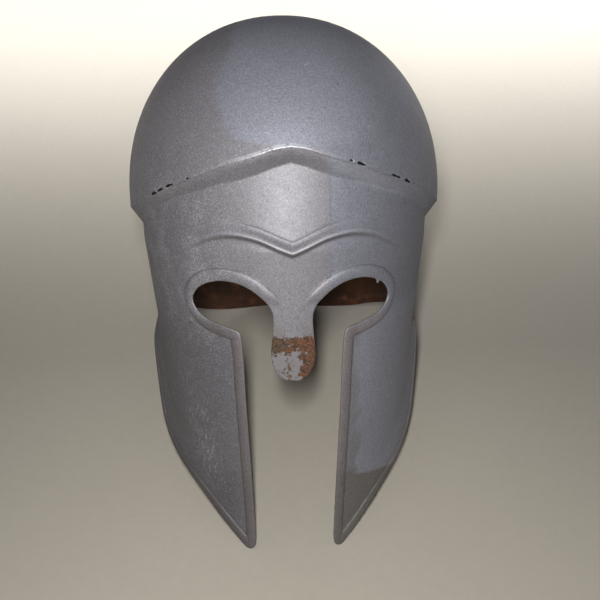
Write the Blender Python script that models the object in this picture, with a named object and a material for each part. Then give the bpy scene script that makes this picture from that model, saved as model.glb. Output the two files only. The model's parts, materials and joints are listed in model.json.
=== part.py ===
"""Corinthian-pattern helmet of sheet steel.

A raised skull dome is butt-welded to a face plate and a neck guard. Six hangers welded inside the dome
carry a leather headband, six leather tongues and a crown disc. The helmet is modelled upright in its own
coordinates and then stood on its two cheek-guard tips and the rim of the neck guard.

Own coordinates: the origin is the middle of the bowl at its widest level, +X is the viewer's right as the
face is looked at, -Y is forward and +Z is up. Angles run round the helmet from the nose, towards +X.
"""

import math

import bmesh
import bpy
import numpy as np
from mathutils import Matrix, Vector
from mathutils.geometry import delaunay_2d_cdt

MM = 0.001

# Steel plates
SHEET = 1.5 * MM
DOME_HALF_WIDTH = 111 * MM
DOME_FRONT = 137 * MM
DOME_BACK = 143 * MM
DOME_TOP = 121 * MM
DOME_ROUNDNESS = 2.1

# Half-width, front depth and back depth of the wall below the dome, as (height, size) in mm
WALL_HALF_WIDTH = [(-240, 90), (-130, 95.5), (-87, 97), (-28, 103), (60, 103)]
WALL_FRONT = [(-240, 119), (-100, 127), (-11, 128), (45, 116.5), (60, 112)]
WALL_BACK = [(-150, 139), (-120, 130), (-90, 125), (-35, 134), (60, 134)]

# Height of the welded seam round the helmet, as (degrees from the nose, mm)
SEAM = [(0, 52), (5, 50.8), (10, 48), (17, 44), (24, 39.9), (32, 33.4), (43, 24.8), (57, 11.5),
        (72, -1.5), (90, -9.5), (135, -24), (180, -30)]
# Height of the crease under the seam: how far it lies below the seam
STEP_DROP = [(0, 11), (16, 13), (32, 10.6), (54, 8.4), (75, 12), (90, 12), (180, 12)]
STEP_SOFTNESS = 0.07

# Lower edge of the plates from the nose tip outwards, as (degrees, height in mm), in three smooth runs
EYE_AND_NASAL = [(0, -97.3), (3.2, -96.3), (5.9, -92.5), (7.7, -86.5), (8.3, -79), (8.0, -72), (7.4, -62),
                 (7.15, -55), (7.5, -50), (9.0, -44.7), (12, -39.2), (15.5, -35), (19.6, -32.4),
                 (25, -32), (30, -34.4), (34.5, -38.8), (37.6, -44.5), (38.8, -50), (37.2, -55.5),
                 (33, -59.7), (27, -61.8), (22.4, -63.2)]
GUARD_FRONT = [(22.4, -63.2), (20.1, -64.6), (19.2, -68), (18.9, -77), (18.6, -113), (18.2, -140),
               (17.7, -176), (17.4, -200), (17.2, -222)]
GUARD_TIP = [(17.2, -222), (17.7, -229), (19.5, -232.8), (22, -232.6), (24.5, -228.8)]
GUARD_REAR = [(24.5, -228.8), (31, -218.5), (38, -208.3), (45, -199.3), (52, -192), (60, -185.7), (67.5, -178),
              (74, -167), (78, -152), (80, -136), (82.5, -120), (87, -108), (92, -102.3)]
NECK_RIM = [(92, -102.3), (99, -103), (107, -107.2), (116, -113.2), (127, -121.6), (137, -130.2),
            (146, -136), (155, -139.9), (165, -142), (180, -142)]
SIDE_JOINT = 92.0

# Pressed relief: the raised border along the free edge, the brow ridge and the flared rear of the guards
BORDER_WIDTH = 8 * MM
BORDER_HEIGHT = 1.5 * MM
BROW_CREST = [(0, -11.4), (4.2, -8.3), (7.5, -5.7), (10.8, -3.3), (14.5, -1.7), (18.5, -0.9), (23, -1.3),
              (29, -4), (35.5, -9.4), (42, -16)]
BROW_HEIGHT = 3.2 * MM
BROW_UNDERSIDE = 3.8 * MM
BROW_BAND = 4.4 * MM
BROW_END = 41.0
FLARE = 4.0 * MM
FLARE_REACH = 28 * MM

# Flat patterns: the oval that turns angles into lengths along the wall
OVAL_HALF_WIDTH = 101 * MM
OVAL_FRONT = 125 * MM
OVAL_BACK = 131 * MM
OUT_DEPTH = 127 * MM

# Welds: half the joint's width, where the plates stop below the seam, and the bead's root inside
JOINT_HALF = 1.6 * MM
JOINT_BELOW = 1.3 * MM
GAP = 0.3 * MM
WELD_ROOT = 1.0 * MM
WELD_SINK = 0.2 * MM
WELD_END = 0.2

# Liner
BAND_CENTRE_Y = 10 * MM
BAND_HALF_WIDTH = 99 * MM
BAND_HALF_LENGTH = 122 * MM
BAND_LOW = 4 * MM
BAND_HIGH = 32 * MM
BAND_THICK = 3 * MM
TONGUE_START = BAND_LOW + 4 * MM
TONGUE_THICK = 2 * MM
TONGUE_WIDE = 46 * MM
TONGUE_NARROW = 15 * MM
CROWN_HEIGHT = 78 * MM
CROWN_DISC = 38 * MM
CROWN_THICK = 2.5 * MM
CROWN_SHARE = 0.2
CROWN_RIVET_LEAN = 82
CROWN_SLACK = 1.5 * MM
HANGER_ANGLES = (30, 90, 150, 210, 270, 330)
HANGER_WIDTH = 13 * MM
HANGER_THICK = 1.2 * MM
HANGER_BOTTOM = -9 * MM
HANGER_BEND = 14 * MM
HANGER_FOOT = (26 * MM, 40 * MM)
FOOT_ROOM = 1.0 * MM
RIVET_SHANK = 1.8 * MM
RIVET_HEAD = 4.2 * MM
HEAD_TALL = 1.1 * MM
HOLE = RIVET_SHANK + GAP
WASHER_RADIUS = 5.5 * MM
WASHER_THICK = 1.0 * MM

# Standing: how much of each foot is filed flat
FOOT_FLAT = 0.7 * MM

# Mesh fineness
EDGE_STEP = 8.5 * MM
TIGHT_STEP = 5.0 * MM
FIELD_STEP = 17 * MM
ROUND_SIDES = 12
STATION = 6
HEADBAND_SIDES = 48
CROWN_SIDES = 36
DOME_ROWS = 9


def table(rows, x):
    """Straight-line reading of a table in mm, in metres."""
    at = [row[0] for row in rows]
    size = [row[1] * MM for row in rows]
    return np.interp(x, at, size)


def curve(rows, x):
    """Smooth reading (Catmull-Rom) of a table in mm, in metres."""
    at = np.array([row[0] for row in rows], float)
    size = np.array([row[1] for row in rows], float) * MM
    slope = np.gradient(size, at)
    x = np.clip(x, at[0], at[-1])
    i = np.clip(np.searchsorted(at, x) - 1, 0, len(at) - 2)
    span = at[i + 1] - at[i]
    t = (x - at[i]) / span
    rise = size[i + 1] - size[i]
    bend = (slope[i] + slope[i + 1]) * span - 2 * rise
    return size[i] + t * (slope[i] * span + t * (3 * rise - (2 * slope[i] + slope[i + 1]) * span + t * bend))


def ease(low, high, x):
    """0 below low, 1 above high, smooth between."""
    t = np.clip((x - low) / (high - low), 0, 1)
    return t * t * (3 - 2 * t)


def fold(angle):
    """The same place on the +X side, in degrees from 0 to 180."""
    angle = np.abs(np.asarray(angle, float)) % 360
    return np.minimum(angle, 360 - angle)


# ---------------------------------------------------------------- bare surfaces

def ellipse(angle, half_width, front, back):
    """Point of a horizontal section, given degrees from the nose."""
    a = np.radians(angle)
    depth = np.where(np.cos(a) > 0, front, back)
    return half_width * np.sin(a), -depth * np.cos(a)


def dome_point(angle, height):
    """Outer surface of the bowl; below its widest level the bowl goes straight down."""
    share = np.clip(height / DOME_TOP, 0, 1)
    k = np.maximum(1 - share ** DOME_ROUNDNESS, 0) ** (1 / DOME_ROUNDNESS)
    x, y = ellipse(angle, DOME_HALF_WIDTH * k, DOME_FRONT * k, DOME_BACK * k)
    return np.stack([x, y, height + 0 * x], -1)


def seam_height(angle):
    return curve(SEAM, fold(angle))


def crease_height(angle):
    return seam_height(angle) - curve(STEP_DROP, fold(angle))


def wall_point(angle, height):
    """Outer surface of the wall below the seam, with the step out to the dome but without relief."""
    mm = height / MM
    x, y = ellipse(angle, table(WALL_HALF_WIDTH, mm), table(WALL_FRONT, mm), table(WALL_BACK, mm))
    seam = seam_height(angle)
    crease = crease_height(angle)
    edge = dome_point(angle, seam)
    sx, sy = ellipse(angle, table(WALL_HALF_WIDTH, seam / MM), table(WALL_FRONT, seam / MM),
                     table(WALL_BACK, seam / MM))
    t = (height - crease) / (seam - crease)
    out = (t + np.sqrt(t * t + STEP_SOFTNESS ** 2)) / (1 + math.sqrt(1 + STEP_SOFTNESS ** 2))
    out = np.where(t < -0.6, 0, out)
    return np.stack([x + out * (edge[..., 0] - sx), y + out * (edge[..., 1] - sy), height + 0 * x], -1)


# Arc length round the wall, from the nose to the nape, so that the plates can be laid out flat
TURN = np.linspace(0, 180, 721)
OVAL_X, OVAL_Y = ellipse(TURN, OVAL_HALF_WIDTH, OVAL_FRONT, OVAL_BACK)
ARC = np.concatenate([[0], np.cumsum(np.hypot(np.diff(OVAL_X), np.diff(OVAL_Y)))])
HALF_ROUND = float(ARC[-1])


def arc_of(angle):
    """Flat coordinate of an angle: negative on the -X side, past HALF_ROUND beyond the nape."""
    angle = np.asarray(angle, float)
    back = np.where(angle > 180, 360 - angle, np.abs(angle))
    s = np.interp(back, TURN, ARC)
    return np.where(angle > 180, 2 * HALF_ROUND - s, np.where(angle < 0, -s, s))


def angle_of(s):
    s = np.asarray(s, float)
    back = np.where(s > HALF_ROUND, 2 * HALF_ROUND - s, np.abs(s))
    angle = np.interp(back, ARC, TURN)
    return np.where(s > HALF_ROUND, 360 - angle, np.where(s < 0, -angle, angle))


# ---------------------------------------------------------------- flat outlines

def even(points, step):
    """Points at an even spacing along a polyline, ends kept."""
    points = np.asarray(points, float)
    run = np.concatenate([[0], np.cumsum(np.linalg.norm(np.diff(points, axis=0), axis=1))])
    count = max(1, round(run[-1] / step))
    at = np.linspace(0, run[-1], count + 1)
    return np.stack([np.interp(at, run, points[:, 0]), np.interp(at, run, points[:, 1])], -1)


def smooth_run(rows, step):
    """Flat points along a Catmull-Rom curve through (degrees, mm) rows."""
    knots = np.array([(float(arc_of(a)), h * MM) for a, h in rows])
    padded = np.vstack([2 * knots[0] - knots[1], knots, 2 * knots[-1] - knots[-2]])
    fine = []
    for p0, p1, p2, p3 in zip(padded, padded[1:], padded[2:], padded[3:]):
        for t in np.linspace(0, 1, 12, endpoint=False):
            fine.append(0.5 * (2 * p1 + (p2 - p0) * t + (2 * p0 - 5 * p1 + 4 * p2 - p3) * t ** 2
                               + (3 * p1 - p0 - 3 * p2 + p3) * t ** 3))
    fine.append(knots[-1])
    return even(fine, step)


def join(*runs):
    """Runs put end to end, without doubling the shared points."""
    out = [runs[0]]
    for run in runs[1:]:
        out.append(run[1:])
    return np.vstack(out)


FACE_EDGE = join(smooth_run(EYE_AND_NASAL, TIGHT_STEP), smooth_run(GUARD_FRONT, EDGE_STEP),
                 smooth_run(GUARD_TIP, TIGHT_STEP), smooth_run(GUARD_REAR, EDGE_STEP))
NECK_EDGE = smooth_run(NECK_RIM, EDGE_STEP)
FREE_EDGE = join(FACE_EDGE, NECK_EDGE)


def distance(points, line):
    """Distance of each flat point to a polyline."""
    best = np.full(len(points), np.inf)
    for a, b in zip(line, line[1:]):
        along = b - a
        t = np.clip(((points - a) @ along) / (along @ along), 0, 1)
        best = np.minimum(best, np.linalg.norm(points - a - t[:, None] * along, axis=1))
    return best


def inside(points, loop):
    """Which flat points lie inside a closed loop."""
    odd = np.zeros(len(points), bool)
    x, y = points[:, 0], points[:, 1]
    for (ax, ay), (bx, by) in zip(loop, np.roll(loop, -1, axis=0)):
        if ay == by:
            continue
        cross = (ay > y) != (by > y)
        odd ^= cross & (x < ax + (y - ay) * (bx - ax) / (by - ay))
    return odd


# ---------------------------------------------------------------- relief

def border(angle, from_edge, height):
    """Raised rounded border along the free edge; it dies out on the nasal."""
    middle = BORDER_WIDTH / 2
    t = np.clip((from_edge - middle) / middle, -1, 1)
    rise = np.where(t > 0, np.sqrt(1 - t ** 2), 1 - 0.45 * t ** 2)
    nasal = ease(12, 9, fold(angle)) * ease(-38 * MM, -46 * MM, height)
    return BORDER_HEIGHT * rise * (1 - nasal)


def brow(angle, height):
    """Ridge over the eyes: a steep underside, a crest and a band that falls back to the forehead."""
    turn = fold(angle)
    above = height - curve(BROW_CREST, turn)
    spread = 1 + 2.2 * ease(12, 36, turn)
    fall = ease(BROW_BAND * spread, 0, above) ** 0.8
    under = ease(-BROW_UNDERSIDE * (1 + 0.3 * ease(10, 40, turn)), 0, above)
    tall = BROW_HEIGHT * (1 - ease(14, BROW_END, turn))
    return tall * np.where(above > 0, fall, under)


def flare(s, height):
    """The rear of each cheek guard turns outwards."""
    rear = distance(np.stack([np.abs(s), height], -1), smooth_run(GUARD_REAR, EDGE_STEP))
    level = ease(-205 * MM, -160 * MM, height) * ease(-88 * MM, -115 * MM, height)
    ahead = ease(95, 84, fold(angle_of(s)))
    return FLARE * (1 - ease(0, FLARE_REACH, rear)) * level * ahead


def wall(s, height):
    """Finished outer surface of the face plate and the neck guard, from flat coordinates."""
    s = np.asarray(s, float)
    height = np.asarray(height, float)
    angle = angle_of(s)
    base = wall_point(angle, height)
    side = np.where(s > HALF_ROUND, 2 * HALF_ROUND - s, np.abs(s))
    edge = distance(np.stack([side, height], -1), FREE_EDGE)
    rise = border(angle, edge, height) + brow(angle, height) + flare(s, height)
    a = np.radians(angle)
    out = np.stack([np.sin(a) / OVAL_HALF_WIDTH, -np.cos(a) / OUT_DEPTH, 0 * a], -1)
    out /= np.linalg.norm(out, axis=1)[:, None]
    return base + rise[:, None] * out


def normals(surface, u, v, step=0.4 * MM):
    """Outward unit normals of a surface by small steps."""
    du = surface(u + step, v) - surface(u - step, v)
    dv = surface(u, v + step) - surface(u, v - step)
    n = np.cross(du, dv)
    return n / np.linalg.norm(n, axis=1)[:, None]


# ---------------------------------------------------------------- Blender objects

def material(name, colour, rough, metal):
    mat = bpy.data.materials.new(name)
    mat.use_nodes = True
    bsdf = mat.node_tree.nodes["Principled BSDF"]
    bsdf.inputs["Base Color"].default_value = (*colour, 1)
    bsdf.inputs["Roughness"].default_value = rough
    bsdf.inputs["Metallic"].default_value = metal
    return mat


def steel_paint(name):
    return material(name, (0.16, 0.16, 0.19), 0.55, 0.3)


def bare_steel(name):
    return material(name, (0.28, 0.27, 0.26), 0.42, 0.9)


def leather(name):
    return material(name, (0.19, 0.10, 0.05), 0.7, 0.0)


def add_object(name, verts, faces, look, smooth=True):
    mesh = bpy.data.meshes.new(name)
    points = [tuple(float(c) for c in v) for v in verts]
    mesh.from_pydata(points, [], [tuple(int(i) for i in face) for face in faces])
    shell = bmesh.new()
    shell.from_mesh(mesh)
    bmesh.ops.recalc_face_normals(shell, faces=shell.faces)
    shell.to_mesh(mesh)
    shell.free()
    mesh.materials.append(look(name))
    if smooth:
        mesh.shade_smooth()
        mesh.set_sharp_from_angle(angle=math.radians(40))
    obj = bpy.data.objects.new(name, mesh)
    bpy.context.scene.collection.objects.link(obj)
    obj.parent = HELMET
    return obj


def skin(name, outer, inner, triangles, look):
    """Closed plate from an outer sheet of triangles and the matching inner sheet."""
    count = len(outer)
    used = {}
    for a, b, c in triangles:
        for edge in ((a, b), (b, c), (c, a)):
            used[edge] = used.get(edge, 0) + 1
    faces = [tuple(t) for t in triangles]
    faces += [(c + count, b + count, a + count) for a, b, c in triangles]
    for a, b in used:
        if (b, a) not in used:
            faces.append((b, a, a + count, b + count))
    return add_object(name, np.vstack([outer, inner]), faces, look)


def tube(name, rings, look, closed=False):
    """Closed body swept through rings of points; the ends are capped unless the sweep closes on itself."""
    size = len(rings[0])
    verts = np.vstack(rings)
    faces = []
    last = len(rings) if closed else len(rings) - 1
    for i in range(last):
        j = (i + 1) % len(rings)
        for k in range(size):
            m = (k + 1) % size
            faces.append((i * size + k, i * size + m, j * size + m, j * size + k))
    if not closed:
        faces.append(tuple(range(size))[::-1])
        faces.append(tuple((len(rings) - 1) * size + k for k in range(size)))
    return add_object(name, verts, faces, look)


def flat_plate(name, loop, features, look):
    """Plate cut to a flat outline, filled with triangles and bent to the wall."""
    loop = np.asarray(loop)
    low, high = loop.min(0), loop.max(0)
    field = []
    for j, y in enumerate(np.arange(low[1], high[1], FIELD_STEP * 0.87)):
        for x in np.arange(low[0], high[0], FIELD_STEP):
            field.append((x + (j % 2) * FIELD_STEP / 2, y))
    field = np.array(field)
    field = field[inside(field, loop)]
    field = field[distance(field, np.vstack([loop, loop[:1]])) > 0.55 * FIELD_STEP]
    features = features[inside(features, loop)]
    features = features[distance(features, np.vstack([loop, loop[:1]])) > 0.4 * TIGHT_STEP]
    apart = np.linalg.norm(field[:, None] - features[None], axis=2).min(1)
    field = field[apart > 0.5 * FIELD_STEP]
    points = np.vstack([loop, features, field])
    count = len(loop)
    ring = [(i, (i + 1) % count) for i in range(count)]
    flat, _, faces, _, _, _ = delaunay_2d_cdt([Vector(p) for p in points], ring, [], 1, 1e-7)
    flat = np.array([tuple(v) for v in flat])
    outer = wall(flat[:, 0], flat[:, 1])
    inner = outer - SHEET * normals(wall, flat[:, 0], flat[:, 1])
    return skin(name, outer, inner, faces, look)


def border_rows(edge):
    """Rows of points that shape the border: its top and its foot."""
    along = np.gradient(edge, axis=0)
    inward = np.stack([-along[:, 1], along[:, 0]], -1) / np.linalg.norm(along, axis=1)[:, None]
    rows = []
    for share in (0.6, 1.0):
        row = edge + inward * BORDER_WIDTH * share
        rows.append(row[distance(row, edge) > 0.9 * BORDER_WIDTH * share])
    return np.vstack(rows)


def mirrored(points, about=0.0):
    return np.stack([2 * about - points[:, 0], points[:, 1]], -1)[::-1]


def stations(first, last):
    """Angles shared by all the edges that meet at the seam, so that their facets run side by side."""
    inner = [a for a in range(-360, 361, STATION) if first + 1 < a < last - 1]
    return np.array([first] + inner + [last], float)


def seam_row(first, last, drop):
    """Flat points along the seam, a set distance below it."""
    angles = stations(first, last)
    return np.stack([arc_of(angles), seam_height(angles) - drop], -1)


def step_rows(first, last):
    """Points along the crease below the seam."""
    rows = []
    for lift in (-0.8 * MM, 1.6 * MM):
        row = seam_row(first, last, 0)
        row[:, 1] = crease_height(angle_of(row[:, 0])) + lift
        rows.append(row)
    return np.vstack(rows)


def brow_rows():
    angles = np.linspace(-38, 38, 27)
    rows = []
    for above in (-BROW_UNDERSIDE, 0, BROW_BAND):
        rows.append(np.stack([arc_of(angles), curve(BROW_CREST, fold(angles)) + above], -1))
    return np.vstack(rows)


def make_face_plate():
    side = float(arc_of(SIDE_JOINT)) - JOINT_HALF
    edge = FACE_EDGE[FACE_EDGE[:, 0] < side - 0.4 * EDGE_STEP]
    edge = np.vstack([edge, [side, FACE_EDGE[-1, 1]]])
    top = seam_row(0, float(angle_of(side)), JOINT_BELOW)
    right = join(edge, even([edge[-1], top[-1]], EDGE_STEP), top[::-1])
    loop = np.vstack([right, mirrored(right)[1:-1]])
    rows = border_rows(edge)
    features = np.vstack([rows, mirrored(rows), step_rows(-88, 88), brow_rows()])
    return flat_plate("face_plate", loop, features, steel_paint)


def make_neck_guard():
    side = float(arc_of(SIDE_JOINT)) + JOINT_HALF
    edge = NECK_EDGE[NECK_EDGE[:, 0] > side + 0.4 * EDGE_STEP]
    edge = np.vstack([[side, NECK_EDGE[0, 1]], edge])
    top = seam_row(float(angle_of(side)), 180, JOINT_BELOW)
    half = join(top[::-1], even([top[0], edge[0]], EDGE_STEP), edge)
    loop = np.vstack([half, mirrored(half, HALF_ROUND)[1:-1]])
    rows = border_rows(edge)
    features = np.vstack([rows, mirrored(rows, HALF_ROUND), step_rows(96, 264)])
    return flat_plate("neck_guard", loop, features, steel_paint)


def make_dome():
    around = 360 // STATION
    up = DOME_ROWS
    turn = np.arange(0, 360, STATION)
    outer = []
    for j in range(up):
        lean = math.radians(90) * j / up
        low = seam_height(turn) + JOINT_HALF
        outer.append(dome_point(turn, low + (DOME_TOP - low) * math.sin(lean)))
    outer = np.vstack(outer + [np.array([[0, 0, DOME_TOP]])])
    faces = []
    for j in range(up - 1):
        for i in range(around):
            k = (i + 1) % around
            a, b, c, d = j * around + i, j * around + k, (j + 1) * around + k, (j + 1) * around + i
            faces += [(a, b, c), (a, c, d)]
    pole = len(outer) - 1
    for i in range(around):
        faces.append(((up - 1) * around + i, (up - 1) * around + (i + 1) % around, pole))
    direction = outer / np.array([DOME_HALF_WIDTH, DOME_FRONT, DOME_TOP]) ** 2
    direction[:, 2] = np.maximum(direction[:, 2], 0)
    inner = outer - SHEET * direction / np.linalg.norm(direction, axis=1)[:, None]
    return skin("skull_dome", outer, inner, faces, steel_paint)


def make_seam_weld(name, first, last):
    """Bead in the joint between the dome and the plates, ground flush outside."""
    turn = stations(first, last)
    s = arc_of(turn)
    seam = seam_height(turn)
    dome_edge = dome_point(turn, seam + JOINT_HALF - GAP)
    dome_normal = dome_edge / np.array([DOME_HALF_WIDTH, DOME_FRONT, DOME_TOP]) ** 2
    dome_normal[:, 2] = np.maximum(dome_normal[:, 2], 0)
    dome_normal /= np.linalg.norm(dome_normal, axis=1)[:, None]
    plate_edge = wall(s, seam - JOINT_BELOW + GAP)
    plate_normal = normals(wall, s, seam - 2 * MM)
    apex = dome_point(turn, seam)
    middle = dome_normal + plate_normal
    middle /= np.linalg.norm(middle, axis=1)[:, None]
    section = [plate_edge, apex - WELD_SINK * middle, dome_edge, dome_edge - SHEET * dome_normal,
               apex - (SHEET + WELD_ROOT) * middle, plate_edge - SHEET * plate_normal]
    rings = [[row[i] for row in section][::-1] for i in range(len(turn))]
    return tube(name, rings, bare_steel)


def make_side_weld(name, side):
    """Bead in the upright joint between the face plate and the neck guard."""
    centre = side * float(arc_of(SIDE_JOINT))
    top = float(seam_height(SIDE_JOINT)) - JOINT_BELOW
    heights = np.linspace(FACE_EDGE[-1, 1], top, 14)
    half = JOINT_HALF - GAP
    left = np.full(len(heights), centre - half)
    right = np.full(len(heights), centre + half)
    a, b = wall(left, heights), wall(right, heights)
    na, nb = normals(wall, left, heights), normals(wall, right, heights)
    middle = (a + b) / 2 - (SHEET + WELD_ROOT) * (na + nb) / 2
    section = [a, b, b - SHEET * nb, middle, a - SHEET * na]
    rings = [[row[i] for row in section] for i in range(len(heights))]
    return tube(name, rings, bare_steel)


# ---------------------------------------------------------------- liner

def band_point(turn, inward, height, scale=1.0):
    """Point on the oval of the headband, a set depth inside its outer face."""
    a = math.radians(turn)
    out = Vector((math.sin(a) / BAND_HALF_WIDTH, -math.cos(a) / BAND_HALF_LENGTH, 0)).normalized()
    x = BAND_HALF_WIDTH * math.sin(a) * scale - out.x * inward
    y = -BAND_HALF_LENGTH * math.cos(a) * scale - out.y * inward + BAND_CENTRE_Y
    return Vector((x, y, height))


def band_frame(turn):
    """Local axes on the headband's outer face: X along it, Y outwards, Z up."""
    a = math.radians(turn)
    out = Vector((math.sin(a) / BAND_HALF_WIDTH, -math.cos(a) / BAND_HALF_LENGTH, 0)).normalized()
    up = Vector((0, 0, 1))
    along = out.cross(up)
    matrix = Matrix((along, out, up)).transposed().to_4x4()
    matrix.translation = band_point(turn, 0, (BAND_LOW + BAND_HIGH) / 2)
    return matrix


def crown_frame(turn):
    """Local axes where a tongue meets the crown disc: Y upwards."""
    share, height = tongue_arc(CROWN_RIVET_LEAN)
    up = Vector((0, 0, 1))
    place_at = band_point(turn, BAND_THICK + GAP, height, share)
    away = Vector((place_at.x, place_at.y - BAND_CENTRE_Y, 0)).normalized()
    matrix = Matrix((up.cross(away), up, away)).transposed().to_4x4()
    matrix.translation = Vector((place_at.x, place_at.y, CROWN_HEIGHT))
    return matrix


def make_headband():
    rings = []
    for i in range(HEADBAND_SIDES):
        turn = 360 * i / HEADBAND_SIDES
        rings.append([band_point(turn, 0, BAND_LOW), band_point(turn, 0, BAND_HIGH),
                      band_point(turn, BAND_THICK, BAND_HIGH), band_point(turn, BAND_THICK, BAND_LOW)])
    return tube("headband", rings, leather, closed=True)


def tongue_profile(count):
    """How far in (share of the headband's size) and how high the tongue is, along its length."""
    rows = [(1.0, TONGUE_START), (1.0, BAND_HIGH)]
    for i in range(1, count + 1):
        rows.append(tongue_arc(90 * i / count))
    return rows


def tongue_arc(lean):
    """Share of the headband's size, and height, where the tongue has turned by some degrees."""
    a = math.radians(lean)
    share = CROWN_SHARE + (1 - CROWN_SHARE) * math.cos(a)
    return share, BAND_HIGH + (CROWN_HEIGHT - BAND_HIGH) * math.sin(a)


def make_tongue(name, turn):
    inward = BAND_THICK + GAP
    rows = tongue_profile(8)
    rings = []
    for k, (scale, height) in enumerate(rows):
        share = k / (len(rows) - 1)
        width = TONGUE_WIDE + (TONGUE_NARROW - TONGUE_WIDE) * share
        ahead = rows[min(k + 1, len(rows) - 1)]
        behind = rows[max(k - 1, 0)]
        middle = band_point(turn, inward, height, scale)
        slope = band_point(turn, inward, ahead[1], ahead[0]) - band_point(turn, inward, behind[1], behind[0])
        outer, inner = [], []
        for j in range(5):
            off = (j / 4 - 0.5) * width
            reach = max(scale, 0.25) * (BAND_HALF_WIDTH + BAND_HALF_LENGTH) / 2
            bent = turn + math.degrees(off / reach)
            p = band_point(bent, inward, height, scale)
            across = band_point(bent + 1, inward, height, scale) - band_point(bent - 1, inward, height, scale)
            n = across.cross(slope).normalized()
            outer.append(p)
            inner.append(p - n * TONGUE_THICK)
        rings.append(outer + inner[::-1])
    return tube(name, rings, leather)


def pin(name, radius, low, high, head, look, sides=ROUND_SIDES):
    """Round rivet about local Y: a flat head at each end of a shank."""
    profile = [(0.0, low - HEAD_TALL), (head * 0.75, low - HEAD_TALL), (head, low), (radius, low),
               (radius, high), (head, high), (head, high + HEAD_TALL * 0.6), (0.0, high + HEAD_TALL)]
    verts = [Vector((0, profile[0][1], 0))]
    faces = []
    for r, y in profile[1:-1]:
        for i in range(sides):
            a = 2 * math.pi * i / sides
            verts.append(Vector((r * math.cos(a), y, r * math.sin(a))))
    verts.append(Vector((0, profile[-1][1], 0)))
    rings = len(profile) - 2
    for i in range(sides):
        k = (i + 1) % sides
        faces.append((0, 1 + i, 1 + k))
        for j in range(rings - 1):
            a, b = 1 + j * sides, 1 + (j + 1) * sides
            faces.append((a + i, b + i, b + k, a + k))
        base = 1 + (rings - 1) * sides
        faces.append((base + i, len(verts) - 1, base + k))
    return add_object(name, verts, faces, look)


def ring(name, inner, outer, low, high, look, sides=ROUND_SIDES):
    """Flat washer about local Y."""
    rings = []
    for i in range(sides):
        a = 2 * math.pi * i / sides
        c, s = math.cos(a), math.sin(a)
        rings.append([Vector((inner * c, low, inner * s)), Vector((inner * c, high, inner * s)),
                      Vector((outer * c, high, outer * s)), Vector((outer * c, low, outer * s))])
    return tube(name, rings, look, closed=True)


def drill(obj, matrix, reach=12 * MM):
    """Round hole through an object along the local Y of a matrix."""
    name = "drill_" + str(len(bpy.data.objects))
    verts, faces = [], []
    sides = ROUND_SIDES
    for y in (-reach, reach):
        for i in range(sides):
            a = 2 * math.pi * i / sides
            verts.append(matrix @ Vector((HOLE * math.cos(a), y, HOLE * math.sin(a))))
    for i in range(sides):
        k = (i + 1) % sides
        faces.append((i, i + sides, k + sides, k))
    faces.append(tuple(range(sides)))
    faces.append(tuple(range(sides, 2 * sides))[::-1])
    cutter = add_object(name, verts, faces, bare_steel, smooth=False)
    cutter.hide_render = True
    cutter.display_type = "WIRE"
    cut = obj.modifiers.new("hole", "BOOLEAN")
    cut.operation = "DIFFERENCE"
    cut.object = cutter


def make_hanger(name, matrix):
    """Steel strip: its foot lies on the inside of the dome, its leg hangs behind the headband."""
    half = HANGER_WIDTH / 2
    foot = []
    for z in HANGER_FOOT:
        gap = []
        for x in (-half, 0, half):
            probe = matrix @ Vector((x, 0, z))
            gap.append(room_to_dome(probe, matrix) - SHEET - FOOT_ROOM)
        foot.append(min(gap))
    rows = [(GAP, HANGER_BOTTOM), (GAP, HANGER_BEND), (foot[0] - HANGER_THICK, HANGER_FOOT[0]),
            (foot[1] - HANGER_THICK, HANGER_FOOT[1])]
    rings = []
    for x in (-half, half):
        front = [matrix @ Vector((x, y, z)) for y, z in rows]
        back = [matrix @ Vector((x, y + HANGER_THICK, z)) for y, z in rows]
        rings.append(front + back[::-1])
    return tube(name, rings, bare_steel)


def room_to_dome(point, matrix):
    """How far the dome's outer face is from a point, going outwards along the local Y of a matrix."""
    out = (matrix.to_3x3() @ Vector((0, 1, 0))).normalized()
    low, high = -40 * MM, 60 * MM
    for _ in range(40):
        middle = (low + high) / 2
        p = point + out * middle
        depth = DOME_FRONT if p.y < 0 else DOME_BACK
        level = (abs(p.x / DOME_HALF_WIDTH) ** 2 + abs(p.y / depth) ** 2) ** 0.5
        size = max(1 - max(p.z / DOME_TOP, 0) ** DOME_ROUNDNESS, 0) ** (1 / DOME_ROUNDNESS)
        if level < size:
            low = middle
        else:
            high = middle
    return low


def make_liner():
    headband = make_headband()
    crown = make_crown()
    for number, turn in enumerate(HANGER_ANGLES, start=1):
        matrix = band_frame(turn)
        tongue = make_tongue(f"tongue_{number}", turn)
        hanger = make_hanger(f"liner_clip_{number}", matrix)
        for leather_piece in (headband, tongue, hanger):
            drill(leather_piece, matrix)
        stack = BAND_THICK + GAP + TONGUE_THICK + GAP
        washer = ring(f"washer_{number}", HOLE, WASHER_RADIUS, -stack - WASHER_THICK, -stack, bare_steel)
        washer.matrix_local = matrix
        rivet = pin(f"rivet_{number}", RIVET_SHANK, -stack - WASHER_THICK - GAP, HANGER_THICK + 2 * GAP,
                    RIVET_HEAD, bare_steel)
        rivet.matrix_local = matrix
        top = crown_frame(turn)
        for leather_piece in (crown, tongue):
            drill(leather_piece, top)
        stack = TONGUE_THICK + CROWN_SLACK
        washer = ring(f"crown_washer_{number}", HOLE, WASHER_RADIUS, -stack - WASHER_THICK, -stack, bare_steel)
        washer.matrix_local = top
        rivet = pin(f"crown_rivet_{number}", RIVET_SHANK, -stack - WASHER_THICK - GAP,
                    2 * GAP + CROWN_THICK + 2 * GAP, RIVET_HEAD, bare_steel)
        rivet.matrix_local = top


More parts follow.
